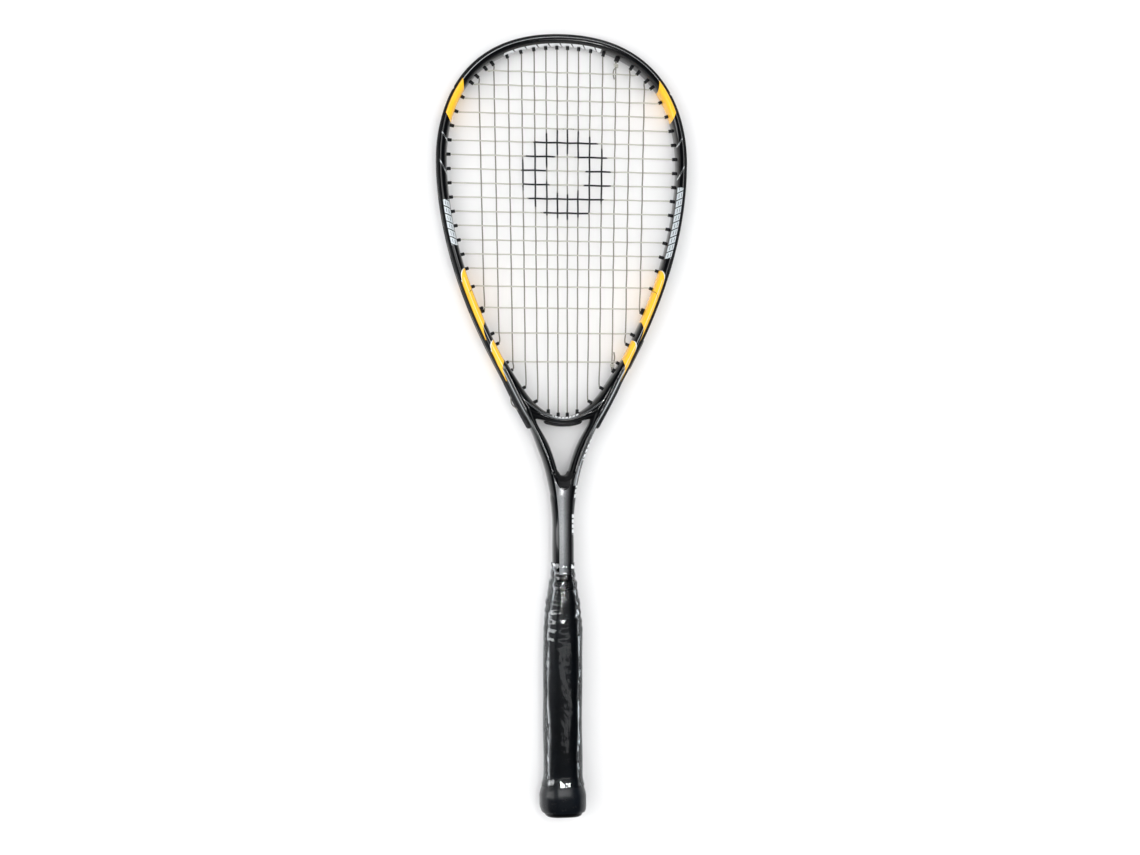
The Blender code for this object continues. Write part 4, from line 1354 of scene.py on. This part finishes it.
def handle_rings(ys, size, raised=None):
    """Sections up the handle, raised square to the surface but never below the cap's lowest."""
    turn = np.arange(HANDLE_SIDES) / HANDLE_SIDES
    rings = []
    for y in ys:
        offsets = soft_square(*size(y), HANDLE_ROUND, HANDLE_SIDES, HANDLE_CROWN)
        if raised is not None:
            offsets = offsets + outwards(offsets) * raised(y, turn)[:, None]
            offsets[:, 1] = np.maximum(offsets[:, 1], -CAP_FLARE[1])
        rings.append(level_ring(offsets, y))
    return np.array(rings)


def fullness(y, turn):
    """How far the wound grip stands out at its sides; turn is 0 on the right, 0.5 on the left."""
    left = LEFT_FULL * np.exp(-((turn - 0.5) / 0.13) ** 2)
    right = RIGHT_FULL * np.exp(-(((turn + 0.5) % 1.0 - 0.5) / 0.13) ** 2)
    fade = blend(GRIP_START_Y, GRIP_START_Y + 6.0, 0.3, 1.0, y)
    return (left + right) * fade * blend(178.0, 204.0, 1.0, 0.0, y)


def wound(y, turn):
    """Height of the wound grip: each turn's edge laps the turn before it."""
    place = (y / GRIP_PITCH + turn) % 1.0
    lap = np.exp(-((place - 0.06) / 0.06) ** 2) * 0.10
    step = np.where(place < 0.03, place / 0.03, 1.0)
    groove = -0.05 * np.exp(-((place - 0.005) / 0.014) ** 2)
    cushion = 0.10 * np.sin(math.pi * place)
    lapped = blend(GRIP_START_Y, GRIP_START_Y + 5.0, 0.0, 1.0, y)
    return (lap * step + groove + cushion) * lapped + fullness(y, turn)


def make_grip(look):
    ys = np.concatenate([np.linspace(GRIP_START_Y, 8.0, 7)[:-1],
                         np.linspace(8.0, GRIP_TOP_Y, 262)])
    outer = handle_rings(ys, grip_size, wound)
    inner = handle_rings(ys, bed_size) * np.array([1.02, 1.0, 1.02])
    around = girth(outer[120])
    skin = Skin()
    skin.sleeve(outer, inner, around, ys)
    return skin.piece("grip_wrap_fine", look, sharp=70.0)


def make_cap(look):
    """The butt cap: a rounded end with a shallow recess in it, then the flare."""
    rings = []
    for y, scale in CAP_PROFILE:
        a, b = cap_size(y)
        offsets = soft_square(a * scale, b * scale, HANDLE_ROUND, 72, HANDLE_CROWN)
        rings.append(level_ring(offsets, y))
    skin = Skin()
    skin.loft(rings, girth(rings[-1]), np.arange(len(rings)) * 2.0)
    return skin.piece("butt_cap_fine", look)


def tape_size(y, extra=0.35):
    if y < GRIP_TOP_Y:
        return grip_size(y, extra)
    over = grip_size(GRIP_TOP_Y, extra)
    shaft = (SHAFT_WRAP[0] + extra + 0.2, SHAFT_WRAP[1] + extra + 0.2)
    return mixed(over, shaft, float(blend(GRIP_TOP_Y + 0.3, GRIP_TOP_Y + 3.4, 0.0, 1.0, y)))


def tape_wrinkles(y, turn):
    waves = np.sin(turn * math.tau * 9.0 + y * 1.3) * np.sin(turn * math.tau * 4.0 - y * 0.9)
    return 0.07 * waves


def make_tape(look):
    ys = np.linspace(TAPE_START_Y, TAPE_TOP_Y, 30)
    outer = handle_rings(ys, tape_size, tape_wrinkles)
    inner = handle_rings(ys, lambda y: tape_size(y, -0.1))
    skin = Skin()
    skin.sleeve(outer, inner, girth(outer[10]), ys)
    return skin.piece("finishing_tape_fine", look, sharp=70.0)


def film_size(y, extra=1.05):
    if y < TAPE_START_Y + 2.0:
        return grip_size(y, extra)
    tape = tape_size(y, extra + 0.1)
    shaft = (SHAFT_WRAP[0] + 0.75, SHAFT_WRAP[1] + 0.75)
    return mixed(tape, shaft, float(blend(TAPE_TOP_Y - 4.0, TAPE_TOP_Y + 6.0, 0.0, 1.0, y)))


def crinkles(y, turn):
    """Soft folds in the film, gathered more closely over the neck."""
    angle = turn * math.tau
    loose = np.sin(angle * 3.0 + y * 0.045) * 0.22 + np.sin(angle * 5.0 - y * 0.11) * 0.12
    gather = blend(140.0, 185.0, 0.04, 1.0, y)
    folds = np.sin(angle * 2.0 + y * 0.62) * np.sin(angle * 7.0 - y * 0.31)
    ring = np.sin(y * 0.78 + np.sin(angle) * 2.2)
    calm = blend(FILM_START_Y, FILM_START_Y + 12.0, 0.2, 1.0, y)
    close = blend(TAPE_TOP_Y - 6.0, FILM_TOP_Y, 1.0, 0.35, y)
    return (loose + gather * (folds * 0.20 + ring * 0.30)) * calm * close + fullness(y, turn)


def make_film(look):
    ys = np.linspace(FILM_START_Y, FILM_TOP_Y, 240)
    outer = handle_rings(ys, film_size, crinkles)
    inner = handle_rings(ys, lambda y: film_size(y, 0.93), crinkles)
    skin = Skin()
    skin.sleeve(outer, inner, girth(outer[60]), ys)
    return skin.piece("grip_film_fine", look, sharp=80.0)


# --- the other materials ------------------------------------------------------------------

def strip_nylon():
    look = Look("grommet_nylon", (0.0050, 0.0052, 0.0062), 0.40, specular_ior_level=0.35)
    look.bump(look.noise(900.0, 3.0), 0.03, 0.6)
    look.paint((0.010, 0.011, 0.013), look.noise(90.0, 2.0).ranged(0.4, 0.7, 0.0, 0.6))
    return look


def string_nylon():
    look = Look("string_nylon", (0.52, 0.51, 0.455), 0.30, coat_weight=0.3, coat_roughness=0.1)
    x, y, _ = look.place()
    lengthways = look.attribute("lengthways")
    around, along = look.around_and_along()
    # Painted shade: the mains, which run lengthways, are painted darker than the crosses, though
    # the string is one piece.
    look.paint((0.19, 0.178, 0.155), (lengthways - 0.55).mask(0.25))
    twist = (along * 2.6 + around * 3.2).wave()
    look.bump(twist, 0.035)
    look.paint((0.36, 0.35, 0.30), twist.ranged(0.0, 1.0, 0.0, 0.16))
    right = x - STENCIL_CENTRE[0]
    above = y - STENCIL_CENTRE[1]
    ring = -abs((right * right + above * above) ** 0.5 - STENCIL_RADIUS) + STENCIL_HALF
    ragged = look.noise(420.0, 2.0).ranged(0.3, 0.7, -1.2, 1.2)
    ring = (ring + ragged).least(-abs(look.place()[2]) + 3.0)
    look.paint((0.002, 0.002, 0.003), ring.mask(0.3))
    return look


def grip_leather():
    """Soft polyurethane: fine pores, and pairs of punched holes along each turn."""
    look = Look("grip_polyurethane", (0.0014, 0.0020, 0.0032), 0.30, specular_ior_level=0.5)
    around, along = look.around_and_along()
    turn_length = 93.0
    across = (along + around * (GRIP_PITCH / turn_length)).part_of(GRIP_PITCH) * GRIP_PITCH
    run = around - along * (GRIP_PITCH / turn_length)
    holes = []
    for offset in (-1.1, 1.1):
        for row in (8.0, 16.5, 25.0):
            step = (run + offset + row * 0.4).from_middle(8.4)
            rise = across - row
            holes.append(-((step * step * 2.2 + rise * rise) ** 0.5) + 0.62)
    mask = either(holes).mask(0.18)
    # A painted sheen: bluish blotches laid over the grip.
    look.paint((0.0050, 0.0078, 0.0125), look.noise(38.0, 3.0).ranged(0.35, 0.75, 0.0, 0.6))
    # Painted shade: the punched holes are painted darker than the grip around them.
    look.paint((0.0005, 0.0005, 0.0008), mask)
    look.bump(mask, -0.35)
    look.bump(look.noise(700.0, 3.0), 0.06, 0.8)
    look.bump(look.noise(75.0, 3.0, (1.0, 0.6, 1.0)), 0.22, 0.5)
    return look


def tape_vinyl():
    look = Look("finishing_tape", (0.0030, 0.0038, 0.0048), 0.22, coat_weight=0.4,
                coat_roughness=0.1)
    look.bump(look.noise(160.0, 2.0, (1.0, 0.25, 1.0)), 0.10)
    return look


def cap_rubber():
    look = Look("cap_rubber", (0.0012, 0.0012, 0.0015), 0.30, specular_ior_level=0.25)
    look.bump(look.noise(800.0, 3.0), 0.05)
    return look


def film_clear():
    """Thin clear film: glossy where it turns away, and otherwise seen through."""
    look = Look("clear_film", (1.0, 1.0, 1.0), 0.06)
    look.bump(look.noise(95.0, 3.0, (1.0, 0.45, 1.0), 0.55), 0.45, 0.7)
    look.bump(look.noise(230.0, 2.0, (1.0, 0.5, 1.0)), 0.18, 0.8)
    normal = look.shader.inputs["Normal"].links[0].from_socket
    shine = look.new("BsdfGlossy")
    shine.inputs["Color"].default_value = (0.97, 0.99, 1.0, 1.0)
    shine.inputs["Roughness"].default_value = 0.07
    clear = look.new("BsdfTransparent")
    clear.inputs["Color"].default_value = (0.97, 0.975, 0.98, 1.0)
    share = look.new("Fresnel")
    share.inputs["IOR"].default_value = 1.48
    both = look.new("MixShader")
    look.link(normal, shine.inputs["Normal"])
    look.link(normal, share.inputs["Normal"])
    look.link(share.outputs[0], both.inputs[0])
    look.link(clear.outputs[0], both.inputs[1])
    look.link(shine.outputs[0], both.inputs[2])
    look.link(both.outputs[0], look.output.inputs["Surface"])
    look.tree.nodes.remove(look.shader)
    return look


def hidden_looks():
    """Better finishes on the CAD pieces that stay: the moulded handle and its staples."""
    foam = Look("handle_foam", (0.16, 0.15, 0.13), 0.85)
    foam.bump(foam.noise(600.0, 4.0), 0.25)
    foam.paint((0.11, 0.10, 0.085), foam.noise(60.0, 3.0).ranged(0.4, 0.7, 0.0, 0.7))
    steel = Look("staple_steel", (0.62, 0.62, 0.60), 0.3, metallic=1.0)
    steel.bump(steel.noise(900.0, 2.0, (0.1, 1.0, 1.0)), 0.02)
    steel.paint((0.45, 0.44, 0.42), steel.noise(300.0, 2.0).ranged(0.4, 0.7, 0.0, 0.6))
    for node in ("handle_foam_upper", "handle_foam_lower"):
        frame["nodes"][node].data.materials[0] = foam.material
    for node in ("cap_staple_left", "cap_staple_right"):
        frame["nodes"][node].data.materials[0] = steel.material


# --- floor, light and camera --------------------------------------------------------------

def make_floor():
    """A sheet of pale paper, just under the lowest point of the racket."""
    half = 9.0
    mesh = bpy.data.meshes.new("floor")
    corners = [(-half, -half, 0.0), (half, -half, 0.0), (half, half, 0.0), (-half, half, 0.0)]
    mesh.from_pydata(corners, [], [(0, 1, 2, 3)])
    floor = bpy.data.objects.new("floor", mesh)
    bpy.context.scene.collection.objects.link(floor)
    floor.location.z = -0.0004
    look = Look("floor_paper", (0.90, 0.90, 0.905), 0.75, specular_ior_level=0.2)
    look.paint((0.87, 0.87, 0.875), look.noise(2.5, 3.0).ranged(0.4, 0.7, 0.0, 0.3))
    look.bump(look.noise(500.0, 3.0), 0.04)
    mesh.materials.append(look.material)


def softbox(name, place, aim, size, power):
    """A rectangular light, in metres and watts, which the camera does not see."""
    data = bpy.data.lights.new(name, "AREA")
    data.shape = "RECTANGLE"
    data.size, data.size_y = size
    data.energy = power
    light = bpy.data.objects.new(name, data)
    light.location = place
    light.rotation_euler = (Vector(aim) - Vector(place)).to_track_quat("-Z", "Y").to_euler()
    light.visible_camera = False
    bpy.context.scene.collection.objects.link(light)
    return light


def make_lights():
    """Softboxes in a room that is bright low down and dark overhead; powers are in watts."""
    world = bpy.data.worlds.new("studio")
    world.use_nodes = True
    nodes = world.node_tree.nodes
    links = world.node_tree.links
    background = nodes["Background"]
    background.inputs["Color"].default_value = (0.97, 0.985, 1.0, 1.0)
    where = nodes.new("ShaderNodeTexCoord")
    split = nodes.new("ShaderNodeSeparateXYZ")
    fall = nodes.new("ShaderNodeMapRange")
    fall.interpolation_type = "SMOOTHSTEP"
    for socket, value in zip(RANGE_SOCKETS, (0.12, 0.52, 1.25, 0.006)):
        fall.inputs[socket].default_value = value
    links.new(where.outputs["Generated"], split.inputs[0])
    links.new(split.outputs[2], fall.inputs["Value"])
    links.new(fall.outputs[0], background.inputs["Strength"])
    bpy.context.scene.world = world
    bpy.context.scene.view_settings.view_transform = "Standard"
    middle = (0.0, 0.0, 0.0)
    softbox("key", (-1.65, 0.05, 1.25), middle, (0.45, 2.4), 15.0)
    softbox("ridge", (-0.72, 0.0, 1.75), middle, (0.12, 1.9), 0.25)
    softbox("spot", (0.13, 0.08, 1.5), (0.0, -0.2, 0.0), (0.045, 0.30), 2.8)
    softbox("sheen", (0.13, -0.35, 1.5), (0.0, -0.25, 0.0), (0.16, 0.60), 0.17)
    overhead = softbox("overhead", (0.0, 0.0, 8.0), middle, (24.0, 24.0), 2230.0)
    overhead.visible_glossy = False


def make_camera():
    """From straight above, a little to the left of the racket."""
    aim = Vector((0.0064, -0.0030, 0.014))
    lean = math.radians(8.0)
    distance = 1.394
    data = bpy.data.cameras.new("camera")
    data.lens = 50.0
    data.sensor_width = 36.0
    camera = bpy.data.objects.new("camera", data)
    back = Vector((-math.sin(lean), 0.0, math.cos(lean)))
    camera.location = aim + back * distance
    side = Vector((0.0, 1.0, 0.0)).cross(back)
    up = back.cross(side)
    camera.rotation_euler = Matrix((side, up, back)).transposed().to_euler()
    bpy.context.scene.collection.objects.link(camera)
    bpy.context.scene.camera = camera


# --- the whole racket ---------------------------------------------------------------------

def make_frame():
    tube = make_tube(tube_lacquer())
    bridge = make_bridge(bridge_lacquer())
    shaft_paint = shaft_lacquer()
    wedge = make_wedge(shaft_paint)
    wrap = make_wrap(shaft_paint)
    fuse([tube, bridge], *BRIDGE_JOINT)
    fuse([tube, wedge, wrap], *CROTCH_JOINT)
    stands_for(tube, "frame_paint", "frame_tube")
    stands_for(bridge, "frame_paint", "throat_bridge")
    stands_for(wedge, "frame_paint", "throat_wedge")
    stands_for(wrap, "shaft_paint", "shaft_wrap")


def make_strips():
    nylon = strip_nylon()
    joint = LINE.at_y(STRIP_JOINT_Y)
    end = LINE.at_y(STRIP_END_Y)
    space = STRIP_JOINT_GAP
    strips = (
        ("bumper_guard", "bumper", joint + space, LINE.length - joint - space),
        ("side_grommet_strip_left", "left", end, joint),
        ("side_grommet_strip_right", "right", LINE.length - joint, LINE.length - end),
    )
    for node, strip, low, high in strips:
        piece = make_frame_strip(node + "_fine", strip, low, high, nylon)
        stands_for(piece, "grommet", node)
    stands_for(make_throat_strip(nylon), "grommet", "throat_grommet_strip")


def make_handle():
    stands_for(make_grip(grip_leather()), "grip", "grip_wrap")
    stands_for(make_cap(cap_rubber()), "butt_cap", "butt_cap")
    stands_for(make_tape(tape_vinyl()), "tape", "finishing_tape")
    stands_for(make_film(film_clear()), "film", "grip_film")
    hidden_looks()


make_camera()
make_lights()
make_floor()
make_frame()
make_strips()
stands_for(make_string(string_nylon()), "string", "string")
make_handle()
